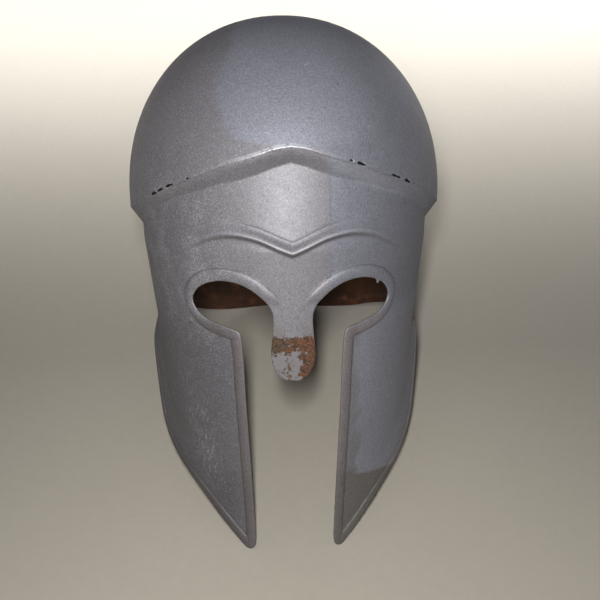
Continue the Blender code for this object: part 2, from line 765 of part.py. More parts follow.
def make_crown():
    """Leather disc over the tongue ends."""
    low = CROWN_HEIGHT + 2 * GAP
    high = low + CROWN_THICK
    sides = CROWN_SIDES
    verts = [Vector((0, BAND_CENTRE_Y, low))]
    for z in (low, high):
        for i in range(sides):
            a = 2 * math.pi * i / sides
            verts.append(Vector((CROWN_DISC * math.cos(a), CROWN_DISC * math.sin(a) + BAND_CENTRE_Y, z)))
    verts.append(Vector((0, BAND_CENTRE_Y, high)))
    faces = []
    for i in range(sides):
        k = (i + 1) % sides
        faces += [(0, 1 + k, 1 + i), (1 + i, 1 + k, 1 + sides + k, 1 + sides + i),
                  (1 + sides + i, 1 + sides + k, len(verts) - 1)]
    return add_object("crown_disc", verts, faces, leather)


def stand_up(plates):
    """Tilt the helmet back until the guard tips and the neck rim touch one table, and file the feet flat."""
    face, neck = [np.array([tuple(v.co) for v in obj.data.vertices]) for obj in plates]
    tilt = 0.35
    for _ in range(30):
        lean = np.array([0, -math.sin(tilt), math.cos(tilt)])
        tip = face[np.argmin(face @ lean)]
        rim = neck[np.argmin(neck @ lean)]
        tilt = math.atan2(rim[2] - tip[2], rim[1] - tip[1])
    turn = Matrix.Rotation(-tilt, 4, "X")
    floor = (turn @ Vector(tip)).z + FOOT_FLAT
    for obj in plates:
        cut_below(obj.data, turn.inverted() @ Vector((0, 0, floor)), turn.inverted() @ Vector((0, 0, 1)))
    depths = []
    for obj in bpy.data.objects:
        if obj.type == "MESH" and not obj.hide_render:
            depths += [(turn @ obj.matrix_local @ v.co).y for v in obj.data.vertices]
    middle = (min(depths) + max(depths)) / 2
    HELMET.matrix_local = Matrix.Translation((0, -middle, -floor)) @ turn


def cut_below(mesh, point, up):
    """Cut a closed mesh at a plane, keep what is above it and close the cut."""
    shell = bmesh.new()
    shell.from_mesh(mesh)
    everything = shell.verts[:] + shell.edges[:] + shell.faces[:]
    bmesh.ops.bisect_plane(shell, geom=everything, dist=1e-6, plane_co=point, plane_no=up, clear_inner=True)
    rim = [edge for edge in shell.edges if edge.is_boundary]
    bmesh.ops.holes_fill(shell, edges=rim, sides=0)
    bmesh.ops.triangulate(shell, faces=[face for face in shell.faces if len(face.verts) > 4])
    bmesh.ops.recalc_face_normals(shell, faces=shell.faces)
    shell.to_mesh(mesh)
    shell.free()


for old in list(bpy.data.objects):
    bpy.data.objects.remove(old)
HELMET = bpy.data.objects.new("helmet", None)
bpy.context.scene.collection.objects.link(HELMET)

face_plate = make_face_plate()
neck_guard = make_neck_guard()
make_dome()
make_seam_weld("seam_weld_front", -SIDE_JOINT + WELD_END, SIDE_JOINT - WELD_END)
make_seam_weld("seam_weld_rear", SIDE_JOINT + WELD_END, 360 - SIDE_JOINT - WELD_END)
make_side_weld("side_weld_right", 1)
make_side_weld("side_weld_left", -1)
make_liner()
stand_up([face_plate, neck_guard])
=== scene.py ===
# %% [markdown]
# # A Corinthian-pattern helmet of sheet steel
#
# The helmet is three steel plates: a raised bowl, a face plate with the cheek guards, and a neck guard. They
# are butt-welded, ground flush outside and sprayed with grey primer. Inside, six clips carry a leather
# headband, six tongues and a crown disc. The packed model fixes every place and size; this script makes the
# fine surfaces and finishes that take the place of its plain ones.

# %% Load the packed model
import json
import math

import bmesh
import bpy
import numpy as np
from mathutils import Matrix, Vector
from mathutils.geometry import delaunay_2d_cdt


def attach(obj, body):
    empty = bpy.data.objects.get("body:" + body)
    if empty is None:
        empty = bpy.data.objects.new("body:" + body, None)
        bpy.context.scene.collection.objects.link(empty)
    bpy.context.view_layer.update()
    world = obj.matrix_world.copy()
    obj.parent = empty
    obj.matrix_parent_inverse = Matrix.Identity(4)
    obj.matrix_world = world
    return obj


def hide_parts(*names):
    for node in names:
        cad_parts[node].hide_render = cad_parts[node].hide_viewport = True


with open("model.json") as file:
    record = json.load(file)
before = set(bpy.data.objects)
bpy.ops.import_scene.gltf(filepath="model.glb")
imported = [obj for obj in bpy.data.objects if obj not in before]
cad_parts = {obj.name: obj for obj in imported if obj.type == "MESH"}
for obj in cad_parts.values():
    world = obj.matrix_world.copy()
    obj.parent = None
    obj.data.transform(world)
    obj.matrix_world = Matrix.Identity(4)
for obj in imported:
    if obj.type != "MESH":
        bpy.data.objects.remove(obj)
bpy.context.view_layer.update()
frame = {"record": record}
MM = 0.001

# %% [markdown]
# ## The helmet's own coordinates
#
# The helmet leans back on its guard tips and neck rim, which makes every formula clumsy. It is easier to work
# as the armourer did, with the helmet upright: origin in the middle of the bowl, -Y out of the nose, Z up.
# Right is +X, as seen by someone who faces the helmet. The packed seat for the head points straight down the
# upright helmet, so its place and direction give the lean exactly.

# %% Find the lean and make the change of coordinates
SEAT_BACK = 10 * MM
SEAT_UP = 70 * MM
seat = next(m for m in frame["record"]["mounts"] if m["name"] == "head_seat")
up = -Vector(seat["axis"]).normalized()
LEAN = math.atan2(up.y, up.z)
TURN_BACK = Matrix.Rotation(-LEAN, 4, "X")
ORIGIN = Vector(seat["pos_m"]) - (TURN_BACK @ Vector((0, SEAT_BACK, SEAT_UP)))
HELMET = Matrix.Translation(ORIGIN) @ TURN_BACK
print("lean in degrees:", round(math.degrees(LEAN), 2), "bowl centre:", [round(c, 4) for c in ORIGIN])

# %% [markdown]
# ## The shape of the steel
#
# The bowl is a superellipsoid. The wall below it is an oval that changes with height, read from short tables,
# and it steps out to the bowl under the seam. The driving sizes repeat the packed model's, apart from the
# crease of that step, which is a little crisper here. A row of the wall's tables is (height, size) in mm. In
# every other table it is (degrees round from the nose, height or drop in mm).

# %% Driving sizes of the plates
SHEET = 1.5 * MM
BOWL_HALF_WIDTH = 111 * MM
BOWL_FRONT = 137 * MM
BOWL_BACK = 143 * MM
BOWL_TOP = 121 * MM
BOWL_ROUNDNESS = 2.1
WALL_HALF_WIDTH = [(-240, 90), (-130, 95.5), (-87, 97), (-28, 103), (60, 103)]
WALL_FRONT = [(-240, 119), (-100, 127), (-11, 128), (45, 116.5), (60, 112)]
WALL_BACK = [(-150, 139), (-120, 130), (-90, 125), (-35, 134), (60, 134)]
SEAM = [(0, 52), (5, 50.8), (10, 48), (17, 44), (24, 39.9), (32, 33.4), (43, 24.8), (57, 11.5),
        (72, -1.5), (90, -9.5), (135, -24), (180, -30)]
STEP_DROP = [(0, 10.4), (3, 11.4), (8, 12.4), (16, 13), (32, 10.6), (54, 8.4), (75, 12), (90, 12), (180, 12)]
STEP_SOFTNESS = 0.04
EYE_AND_NASAL = [(0, -97.3), (3.2, -96.3), (5.9, -92.5), (7.7, -86.5), (8.3, -79), (8.0, -72), (7.4, -62),
                 (7.15, -55), (7.5, -50), (9.0, -44.7), (12, -39.2), (15.5, -35), (19.6, -32.4),
                 (25, -32), (30, -34.4), (34.5, -38.8), (37.6, -44.5), (38.8, -50), (37.2, -55.5),
                 (33, -59.7), (27, -61.8), (22.4, -63.2)]
GUARD_FRONT = [(22.4, -63.2), (20.1, -64.6), (19.2, -68), (18.9, -77), (18.6, -113), (18.2, -140),
               (17.7, -176), (17.4, -200), (17.2, -222)]
GUARD_TIP = [(17.2, -222), (17.7, -229), (19.5, -232.8), (22, -232.6), (24.5, -228.8)]
GUARD_REAR = [(24.5, -228.8), (31, -218.5), (38, -208.3), (45, -199.3), (52, -192), (60, -185.7),
              (67.5, -178), (74, -167), (78, -152), (80, -136), (82.5, -120), (87, -108), (92, -102.3)]
NECK_RIM = [(92, -102.3), (99, -103), (107, -107.2), (116, -113.2), (127, -121.6), (137, -130.2),
            (146, -136), (155, -139.9), (165, -142), (180, -142)]
SIDE_JOINT = 92.0
BORDER_WIDTH = 8 * MM
BORDER_HEIGHT = 1.5 * MM
BROW_CREST = [(0, -11.4), (4.2, -8.3), (7.5, -5.7), (10.8, -3.3), (14.5, -1.7), (18.5, -0.9), (23, -1.3),
              (29, -4), (35.5, -9.4), (42, -16)]
BROW_HEIGHT = 3.2 * MM
BROW_UNDERSIDE = 3.8 * MM
BROW_BAND = 4.4 * MM
BROW_END = 41.0
GROOVE_ABOVE = 5.6 * MM
GROOVE_HALF = 0.6 * MM
GROOVE_DEPTH = 0.4 * MM
FLARE = 4.0 * MM
FLARE_REACH = 28 * MM
JOINT_HALF = 1.6 * MM
JOINT_BELOW = 1.3 * MM
PLATE_LAP = 0.05 * MM
SEAM_CLOSE = JOINT_HALF - PLATE_LAP
print("sheet thickness in mm:", SHEET / MM)


# %% Read the tables
def table(rows, x):
    """Straight-line reading of a table in mm, in metres."""
    return np.interp(x, [row[0] for row in rows], [row[1] * MM for row in rows])


def curve(rows, x):
    """Smooth reading of a table in mm, in metres."""
    at = np.array([row[0] for row in rows], float)
    size = np.array([row[1] for row in rows], float) * MM
    slope = np.gradient(size, at)
    x = np.clip(x, at[0], at[-1])
    i = np.clip(np.searchsorted(at, x) - 1, 0, len(at) - 2)
    span = at[i + 1] - at[i]
    t = (x - at[i]) / span
    rise = size[i + 1] - size[i]
    bend = (slope[i] + slope[i + 1]) * span - 2 * rise
    return size[i] + t * (slope[i] * span + t * (3 * rise - (2 * slope[i] + slope[i + 1]) * span + t * bend))


def ease(low, high, x):
    """0 at low, 1 at high, smooth between."""
    t = np.clip((x - low) / (high - low), 0, 1)
    return t * t * (3 - 2 * t)


def fold(angle):
    """The same place on the +X side, in degrees from 0 to 180."""
    angle = np.abs(np.asarray(angle, float)) % 360
    return np.minimum(angle, 360 - angle)


print("seam height at the nose and the nape, in mm:", curve(SEAM, np.array([0.0, 180.0])) / MM)


# %% Bare surfaces of the bowl and the wall
def ellipse(angle, half_width, front, back):
    a = np.radians(angle)
    depth = np.where(np.cos(a) > 0, front, back)
    return half_width * np.sin(a), -depth * np.cos(a)


def bowl_point(angle, height):
    share = np.clip(height / BOWL_TOP, 0, 1)
    k = np.maximum(1 - share ** BOWL_ROUNDNESS, 0) ** (1 / BOWL_ROUNDNESS)
    x, y = ellipse(angle, BOWL_HALF_WIDTH * k, BOWL_FRONT * k, BOWL_BACK * k)
    return np.stack([x, y, height + 0 * x], -1)


def seam_height(angle):
    return curve(SEAM, fold(angle))


def crease_height(angle):
    return seam_height(angle) - curve(STEP_DROP, fold(angle))


def wall_point(angle, height):
    """The wall with its step out to the bowl, before any pressed relief."""
    mm = height / MM
    x, y = ellipse(angle, table(WALL_HALF_WIDTH, mm), table(WALL_FRONT, mm), table(WALL_BACK, mm))
    seam = seam_height(angle)
    crease = crease_height(angle)
    edge = bowl_point(angle, seam)
    sx, sy = ellipse(angle, table(WALL_HALF_WIDTH, seam / MM), table(WALL_FRONT, seam / MM),
                     table(WALL_BACK, seam / MM))
    t = (height - crease) / (seam - crease)
    out = (t + np.sqrt(t * t + STEP_SOFTNESS ** 2)) / (1 + math.sqrt(1 + STEP_SOFTNESS ** 2))
    out = np.where(t < -0.6, 0, out)
    return np.stack([x + out * (edge[..., 0] - sx), y + out * (edge[..., 1] - sy), height + 0 * x], -1)


OVAL_HALF_WIDTH = 101 * MM
OVAL_DEPTH = 127 * MM
TURN = np.linspace(0, 180, 721)
OVAL_X, OVAL_Y = ellipse(TURN, OVAL_HALF_WIDTH, OVAL_DEPTH - 2 * MM, OVAL_DEPTH + 4 * MM)
ARC = np.concatenate([[0], np.cumsum(np.hypot(np.diff(OVAL_X), np.diff(OVAL_Y)))])
HALF_ROUND = float(ARC[-1])


def arc_of(angle):
    """Flat coordinate of an angle, in metres from the nose along the wall."""
    angle = np.asarray(angle, float)
    back = np.where(angle > 180, 360 - angle, np.abs(angle))
    s = np.interp(back, TURN, ARC)
    return np.where(angle > 180, 2 * HALF_ROUND - s, np.where(angle < 0, -s, s))


def angle_of(s):
    s = np.asarray(s, float)
    back = np.where(s > HALF_ROUND, 2 * HALF_ROUND - s, np.abs(s))
    angle = np.interp(back, ARC, TURN)
    return np.where(s > HALF_ROUND, 360 - angle, np.where(s < 0, -angle, angle))


print("half the way round the wall, in mm:", round(HALF_ROUND / MM, 1))

# %% [markdown]
# ## Flat patterns
#
# Sheet metal starts as a flat pattern. Each plate is laid out on a plane, arc length across and height up,
# cut to its outline there, filled with triangles and only then bent to the wall. Distances on the pattern are
# close to distances on the helmet, so the raised border can follow the edge by a plain distance.

# %% Outlines on the flat pattern
EDGE_STEP = 1.5 * MM


def run_along(points):
    """Length travelled along a polyline at each of its points."""
    return np.concatenate([[0], np.cumsum(np.linalg.norm(np.diff(points, axis=0), axis=1))])


def even(points, step):
    """Points at an even spacing along a polyline, ends kept."""
    points = np.asarray(points, float)
    run = run_along(points)
    count = max(1, round(run[-1] / step))
    at = np.linspace(0, run[-1], count + 1)
    return np.stack([np.interp(at, run, points[:, 0]), np.interp(at, run, points[:, 1])], -1)


def smooth_run(rows, step):
    """Flat points along a Catmull-Rom curve through (degrees, mm) rows."""
    knots = np.array([(float(arc_of(a)), h * MM) for a, h in rows])
    padded = np.vstack([2 * knots[0] - knots[1], knots, 2 * knots[-1] - knots[-2]])
    fine = []
    for p0, p1, p2, p3 in zip(padded, padded[1:], padded[2:], padded[3:]):
        for t in np.linspace(0, 1, 16, endpoint=False):
            fine.append(0.5 * (2 * p1 + (p2 - p0) * t + (2 * p0 - 5 * p1 + 4 * p2 - p3) * t ** 2
                               + (3 * p1 - p0 - 3 * p2 + p3) * t ** 3))
    fine.append(knots[-1])
    return even(fine, step)


def join(*runs):
    """Runs put end to end, without doubling the shared points."""
    return np.vstack([runs[0]] + [run[1:] for run in runs[1:]])


FACE_EDGE = join(smooth_run(EYE_AND_NASAL, EDGE_STEP), smooth_run(GUARD_FRONT, EDGE_STEP),
                 smooth_run(GUARD_TIP, EDGE_STEP), smooth_run(GUARD_REAR, EDGE_STEP))
NECK_EDGE = smooth_run(NECK_RIM, EDGE_STEP)
FREE_EDGE = join(FACE_EDGE, NECK_EDGE)
REAR_EDGE = smooth_run(GUARD_REAR, 3 * EDGE_STEP)


def distance(points, line):
    """Distance of each flat point to a polyline."""
    best = np.full(len(points), np.inf)
    for a, b in zip(line, line[1:]):
        along = b - a
        t = np.clip(((points - a) @ along) / (along @ along), 0, 1)
        best = np.minimum(best, ((points - a - t[:, None] * along) ** 2).sum(1))
    return np.sqrt(best)


def inside(points, loop):
    """Which flat points lie inside a closed loop."""
    odd = np.zeros(len(points), bool)
    x, y = points[:, 0], points[:, 1]
    for (ax, ay), (bx, by) in zip(loop, np.roll(loop, -1, axis=0)):
        if ay == by:
            continue
        cross = (ay > y) != (by > y)
        odd ^= cross & (x < ax + (y - ay) * (bx - ax) / (by - ay))
    return odd


def mirrored(points, about=0.0):
    return np.stack([2 * about - points[:, 0], points[:, 1]], -1)[::-1]


print("points along the free edge:", len(FREE_EDGE))

# %% [markdown]
# ## Pressed relief
#
# The border along the edges and the ridge over the brows are pressed into the same sheet, so they are heights
# added along the wall's normal. The border is a low rounded bead with a crisp foot. The brow has a steep
# underside, a tight crest, and a band that falls back to the forehead, which ends in a fine chased line near
# the middle.


# %% Relief heights
def border(angle, from_edge, height):
    middle = BORDER_WIDTH / 2
    t = np.clip((from_edge - middle) / middle, -1, 1)
    rise = np.where(t > 0, np.sqrt(1 - t ** 2), 1 - 0.45 * t ** 2)
    nasal = ease(12, 9, fold(angle)) * ease(-38 * MM, -46 * MM, height)
    return BORDER_HEIGHT * rise * (1 - nasal)


def brow(angle, height):
    turn = fold(angle)
    above = height - curve(BROW_CREST, turn)
    spread = 1 + 2.2 * ease(12, 36, turn)
    fall = ease(BROW_BAND * spread, 0, above) ** 0.8
    under = ease(-BROW_UNDERSIDE * (1 + 0.3 * ease(10, 40, turn)), 0, above)
    tall = BROW_HEIGHT * (1 - ease(14, BROW_END, turn))
    line = np.exp(-((above - GROOVE_ABOVE) / GROOVE_HALF) ** 2) * (1 - ease(10, 24, turn))
    return tall * np.where(above > 0, fall, under) - GROOVE_DEPTH * line


def flare(s, height, angle):
    level = ease(-205 * MM, -160 * MM, height) * ease(-88 * MM, -115 * MM, height) * ease(95, 84, fold(angle))
    rise = np.zeros(len(s))
    near = level > 0
    if near.any():
        rear = distance(np.stack([np.abs(s[near]), height[near]], -1), REAR_EDGE)
        rise[near] = FLARE * (1 - ease(0, FLARE_REACH, rear)) * level[near]
    return rise


def edge_distance(s, height):
    side = np.where(s > HALF_ROUND, 2 * HALF_ROUND - s, np.abs(s))
    return distance(np.stack([side, height], -1), FREE_EDGE)


def wall(s, height):
    """Finished outer surface of the face plate and the neck guard."""
    angle = angle_of(s)
    base = wall_point(angle, height)
    rise = border(angle, edge_distance(s, height), height) + brow(angle, height) + flare(s, height, angle)
    a = np.radians(angle)
    out = np.stack([np.sin(a) / OVAL_HALF_WIDTH, -np.cos(a) / OVAL_DEPTH, 0 * a], -1)
    out /= np.linalg.norm(out, axis=1)[:, None]
    return base + rise[:, None] * out


def normals(surface, u, v, step=0.25 * MM):
    """Outward unit normals of a surface by small steps."""
    du = surface(u + step, v) - surface(u - step, v)
    dv = surface(u, v + step) - surface(u, v - step)
    n = np.cross(du, dv)
    return n / np.linalg.norm(n, axis=1)[:, None]


crest_rise = float(brow(0.0, BROW_CREST[0][1] * MM))
print("the brow's crest stands out over the nose, in mm:", round(crest_rise / MM, 2))

# %% [markdown]
# ## Turning numbers into pieces
#
# A plate is a closed body: the outer sheet, the inner sheet one thickness behind it, and a rounded rim that
# joins the two. Outer faces take the primer, inner faces the bare steel, so each face carries the number of
# its finish. Measures that the finishes need later, such as the distance to the edge, ride on the points as
# named attributes.

# %% Make a piece from points and faces
PRIMER, BARE = 0, 1
FAR = 99.0
SMOOTH_BELOW = math.radians(50)


def new_piece(name, verts, faces, finish=None, measures=None):
    """A piece of the helmet, from points in the helmet's own coordinates."""
    mesh = bpy.data.meshes.new(name)
    placed = np.asarray(verts, float) @ np.array(HELMET.to_3x3()).T + np.array(HELMET.translation)
    mesh.from_pydata(placed.tolist(), [], [tuple(int(i) for i in face) for face in faces])
    if finish is not None:
        mesh.polygons.foreach_set("material_index", np.asarray(finish, np.int32))
    for key, values in (measures or {}).items():
        mesh.attributes.new(key, "FLOAT", "POINT").data.foreach_set("value", np.asarray(values, np.float32))
    face_outwards(mesh)
    piece = bpy.data.objects.new(name, mesh)
    bpy.context.scene.collection.objects.link(piece)
    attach(piece, "root")
    return piece


def face_outwards(mesh):
    """Faces turned outwards, and shaded smooth except at real edges."""
    shell = bmesh.new()
    shell.from_mesh(mesh)
    bmesh.ops.recalc_face_normals(shell, faces=shell.faces)
    shell.to_mesh(mesh)
    shell.free()
    mesh.shade_smooth()
    mesh.set_sharp_from_angle(angle=SMOOTH_BELOW)


def grid_faces(rows, size, closed=False):
    """Faces between rows of points that each run round; the last row meets the first if closed."""
    faces = []
    for j in range(rows if closed else rows - 1):
        m = (j + 1) % rows
        for i in range(size):
            k = (i + 1) % size
            faces.append((j * size + i, j * size + k, m * size + k, m * size + i))
    return faces


print("edges sharper than this stay crisp, in degrees:", round(math.degrees(SMOOTH_BELOW)))


# %% Close a sheet with a rounded rim
RIM_ROUND = 0.35 * MM


def plate(name, outer, normal, triangles, rim_out, rim_normal, rim_of, measures):
    """Closed plate; rim_out is the true outline, rim_of the sheet's own points beside it."""
    count, edge = len(outer), len(rim_out)
    verts = np.vstack([outer, outer - SHEET * normal, rim_out - RIM_ROUND * rim_normal,
                       rim_out - (SHEET - RIM_ROUND) * rim_normal])
    faces = [tuple(t) for t in triangles]
    faces += [(c + count, b + count, a + count) for a, b, c in triangles]
    finish = [PRIMER] * len(triangles) + [BARE] * len(triangles)
    upper, lower = 2 * count, 2 * count + edge
    for i in range(edge):
        j = (i + 1) % edge
        a, b = rim_of[i], rim_of[j]
        faces += [(b, a, upper + i, upper + j), (upper + j, upper + i, lower + i, lower + j),
                  (lower + j, lower + i, a + count, b + count)]
        finish += [PRIMER, PRIMER, BARE]
    full = {}
    for key, values in measures.items():
        beside = np.asarray(values)[rim_of]
        full[key] = np.concatenate([values, values, beside, beside])
    return new_piece(name, verts, faces, finish, full)


print("rim rounding in mm:", RIM_ROUND / MM)

# %% Fill a flat pattern and bend it
FIELD_STEP = 3.0 * MM
FEATURE_GAP = 0.45 * MM
RIM_CLEAR = 0.4 * MM


def offset_rows(edge, shares, step):
    """Rows of points at set distances inside an edge."""
    edge = even(edge, step)
    along = np.gradient(edge, axis=0)
    inward = np.stack([-along[:, 1], along[:, 0]], -1) / np.linalg.norm(along, axis=1)[:, None]
    rows = []
    for share in shares:
        row = edge + inward * share
        rows.append(row[distance(row, edge) > 0.93 * share])
    return np.vstack(rows)


def thinned(points, gap):
    """One point for each small square."""
    _, keep = np.unique(np.round(points / gap).astype(int), axis=0, return_index=True)
    return points[np.sort(keep)]


def inset(loop, depth):
    """A closed outline moved inwards; loop runs anticlockwise."""
    along = np.roll(loop, -1, axis=0) - np.roll(loop, 1, axis=0)
    inward = np.stack([-along[:, 1], along[:, 0]], -1) / np.linalg.norm(along, axis=1)[:, None]
    return loop + inward * depth


def cut_feet(piece):
    """File the feet flat on the table, and close the cut."""
    shell = bmesh.new()
    shell.from_mesh(piece.data)
    everything = shell.verts[:] + shell.edges[:] + shell.faces[:]
    bmesh.ops.bisect_plane(shell, geom=everything, dist=1e-7, plane_co=(0, 0, 0), plane_no=(0, 0, 1),
                           clear_inner=True)
    filled = bmesh.ops.holes_fill(shell, edges=[edge for edge in shell.edges if edge.is_boundary], sides=0)
    bmesh.ops.triangulate(shell, faces=filled["faces"])
    bmesh.ops.recalc_face_normals(shell, faces=shell.faces)
    shell.to_mesh(piece.data)
    shell.free()


def bent_plate(name, loop, features):
    """Plate cut to a flat outline, filled with fine triangles and bent to the wall."""
    own = inset(loop, RIM_ROUND)
    closed = np.vstack([own, own[:1]])
    low, high = own.min(0), own.max(0)
    rows = np.arange(low[1], high[1], FIELD_STEP * 0.87)
    field = np.array([(x + (j % 2) * FIELD_STEP / 2, y) for j, y in enumerate(rows)
                      for x in np.arange(low[0], high[0], FIELD_STEP)])
    features = thinned(features[inside(features, own)], FEATURE_GAP)
    features = features[distance(features, closed) > RIM_CLEAR]
    field = field[inside(field, own)]
    field = field[distance(field, closed) > 0.6 * FIELD_STEP]
    cells = {tuple(c) for c in np.round(features / FIELD_STEP).astype(int)}
    lonely = [tuple(c) not in cells for c in np.round(field / FIELD_STEP).astype(int)]
    field = field[np.array(lonely)]
    count = len(own)
    ring = [(i, (i + 1) % count) for i in range(count)]
    points = np.vstack([own, features, field])
    flat, _, triangles, source, _, _ = delaunay_2d_cdt([Vector(p) for p in points], ring, [], 1, 1e-7)
    flat = np.array([tuple(v) for v in flat])
    place = {old: new for new, olds in enumerate(source) for old in olds}
    rim_of = np.array([place[i] for i in range(count)])
    s, h = flat[:, 0], flat[:, 1]
    normal = normals(wall, s, h)
    turn = angle_of(s)
    measures = {"edge": edge_distance(s, h) / MM,
                "above_brow": np.where(fold(turn) < 50, (h - curve(BROW_CREST, fold(turn))) / MM, FAR)}
    piece = plate(name, wall(s, h), normal, triangles, wall(loop[:, 0], loop[:, 1]),
                  normal[rim_of], rim_of, measures)
    cut_feet(piece)
    print(name, "faces:", len(piece.data.polygons))
    return piece


def seam_row(first, last, drop, step=2.0):
    angles = np.linspace(first, last, round((last - first) / step) + 1)
    return np.stack([arc_of(angles), seam_height(angles) - drop], -1)


def step_rows(first, last):
    """Points along the crease below the seam, close together where the sheet turns."""
    rows = []
    for lift in (-3.2, -1.6, -0.8, -0.3, 0, 0.3, 0.8, 1.6, 3.2, 5.0):
        row = seam_row(first, last, 0, 0.9)
        row[:, 1] = crease_height(angle_of(row[:, 0])) + lift * MM
        rows.append(row)
    return np.vstack(rows)


def brow_rows():
    """Points along the brow ridge, closest together at its crest."""
    angles = np.linspace(-BROW_CREST[-1][0], BROW_CREST[-1][0], 141)
    rows = []
    for above in (-6.4, -5.6, -4.9, -4.2, -3.3, -2.4, -1.6, -0.9, -0.4, 0, 0.4, 0.9, 1.6, 2.4, 3.2, 4, 4.6,
                  5.0, 5.3, 5.6, 5.9, 6.3, 6.9, 8):
        rows.append(np.stack([arc_of(angles), curve(BROW_CREST, fold(angles)) + above * MM], -1))
    return np.vstack(rows)


BORDER_ROWS = [d * MM for d in (1.2, 2.2, 3.4, 4.6, 5.6, 6.4, 7.0, 7.5, 7.8, 8.0, 8.3, 9.2)]
print("rows across the border:", len(BORDER_ROWS))

# %% [markdown]
# ## Face plate
#
# One sheet forms the forehead, the nasal, the rims of the eyes and both cheek guards. The right half of the
# outline is made and mirrored, so the two halves meet exactly on the centre line. The saw left one small burr
# hanging from the upper rim of the right eye.

# %% Make the face plate
BURR = (32.5, -36.8)
BURR_WIDTH = 0.9 * MM
BURR_LENGTH = 2.2 * MM


def make_face_plate():
    side = float(arc_of(SIDE_JOINT)) - SEAM_CLOSE
    edge = FACE_EDGE[FACE_EDGE[:, 0] < side - 0.4 * EDGE_STEP]
    edge = np.vstack([edge, [side, FACE_EDGE[-1, 1]]])
    top = seam_row(0, float(angle_of(side)), JOINT_BELOW - PLATE_LAP, 0.8)
    right = join(edge, even([edge[-1], top[-1]], EDGE_STEP), top[::-1])
    loop = np.vstack([right, mirrored(right)[1:-1]])
    burr = np.array([float(arc_of(BURR[0])), BURR[1] * MM])
    close = np.exp(-((loop - burr) ** 2).sum(1) / BURR_WIDTH ** 2)
    loop = loop + close[:, None] * np.array([-0.3, -1]) * BURR_LENGTH
    rows = offset_rows(edge, BORDER_ROWS, EDGE_STEP)
    features = np.vstack([rows, mirrored(rows), step_rows(-88, 88), brow_rows()])
    piece = bent_plate("face_plate_sheet", loop, features)
    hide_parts("face_plate")
    return piece


face_plate = make_face_plate()

# %% [markdown]
# ## Neck guard
#
# The neck guard is the same kind of sheet: it draws in at the nape, flares out to a rim that rests on the
# table, and carries on the raised border of the cheek guards.


# %% Make the neck guard
def make_neck_guard():
    side = float(arc_of(SIDE_JOINT)) + SEAM_CLOSE
    edge = NECK_EDGE[NECK_EDGE[:, 0] > side + 0.4 * EDGE_STEP]
    edge = np.vstack([[side, NECK_EDGE[0, 1]], edge])
    top = seam_row(float(angle_of(side)), 180, JOINT_BELOW - PLATE_LAP, 0.8)
    half = join(top[::-1], even([top[0], edge[0]], EDGE_STEP), edge)
    loop = np.vstack([half, mirrored(half, HALF_ROUND)[1:-1]])
    rows = offset_rows(edge, BORDER_ROWS, EDGE_STEP)
    features = np.vstack([rows, mirrored(rows, HALF_ROUND), step_rows(96, 264)])
    piece = bent_plate("neck_guard_sheet", loop, features)
    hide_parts("neck_guard")
    return piece


neck_guard = make_neck_guard()

# %% [markdown]
# ## Bowl
#
# The bowl was raised from a disc, so its natural grid is rings and meridians. Rows run from the seam to the
# crown, where they close on one point.


# %% Make the bowl
def bowl_normal(points):
    n = points / np.array([BOWL_HALF_WIDTH, BOWL_FRONT, BOWL_TOP]) ** 2
    n[:, 2] = np.maximum(n[:, 2], 0)
    return n / np.linalg.norm(n, axis=1)[:, None]


def make_bowl():
    around, rows = 300, 60
    turn = np.linspace(0, 360, around, endpoint=False)
    low = seam_height(turn) + SEAM_CLOSE
    outer = []
    for row in range(rows):
        lean = math.radians(90) * row / rows
        outer.append(bowl_point(turn, low + (BOWL_TOP - low) * math.sin(lean)))
    outer = np.vstack(outer + [[[0, 0, BOWL_TOP]]])
    normal = bowl_normal(outer)
    count, last = len(outer), (rows - 1) * around
    faces = grid_faces(rows, around)
    faces += [(last + i, last + (i + 1) % around, count - 1) for i in range(around)]
    finish = [PRIMER] * len(faces) + [BARE] * len(faces)
    faces = faces + [tuple(v + count for v in face[::-1]) for face in faces]
    for i in range(around):
        k = (i + 1) % around
        faces.append((k, i, i + count, k + count))
        finish.append(BARE)
    verts = np.vstack([outer, outer - SHEET * normal])
    far = np.full(len(verts), FAR)
    measures = {"edge": far, "above_brow": far}
    piece = new_piece("skull_dome_sheet", verts, faces, finish, measures)
    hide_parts("skull_dome")
    print("bowl faces:", len(faces))
    return piece


bowl = make_bowl()


# %% [markdown]
# ## Swept pieces
#
# Weld beads, the headband, the tongues and the clips all have a cross-section that travels along a line. One
# function joins such sections into a closed body, and one gives the section of a strip with rounded edges.


# %% Sweep a section along a line
def swept(name, rings, closed=False, finish=None, measures=None):
    """Closed body through rings of equal size; the ends are capped unless it closes on itself."""
    size = len(rings[0])
    faces = grid_faces(len(rings), size, closed)
    marks = (finish or [0] * size) * (len(faces) // size)
    if not closed:
        end = (len(rings) - 1) * size
        faces += [tuple(range(size))[::-1], tuple(end + k for k in range(size))]
        marks += [0, 0]
    return new_piece(name, np.vstack(rings), faces, marks, measures)


def strip_section(width, thick, radius, across=8):
    """Points (across, deep) round a strip: across from -width/2 to width/2, deep from 0 to thick."""
    points = []
    for side in (-1, 1):
        middle_x = side * (width / 2 - radius)
        for step in range(5):
            a = math.radians(90 * step / 4)
            c, v = (math.cos(a), math.sin(a)) if side < 0 else (math.sin(a), math.cos(a))
            points.append((middle_x + side * radius * c, radius - radius * v))
        if side < 0:
            points += [(x, 0) for x in np.linspace(-width / 2 + radius, width / 2 - radius, across + 1)[1:-1]]
    top = np.array(points)
    under = np.stack([top[::-1, 0], thick - top[::-1, 1]], -1)
    return np.vstack([top, under])


print("points round a strip:", len(strip_section(0.01, 0.002, 0.0006)))

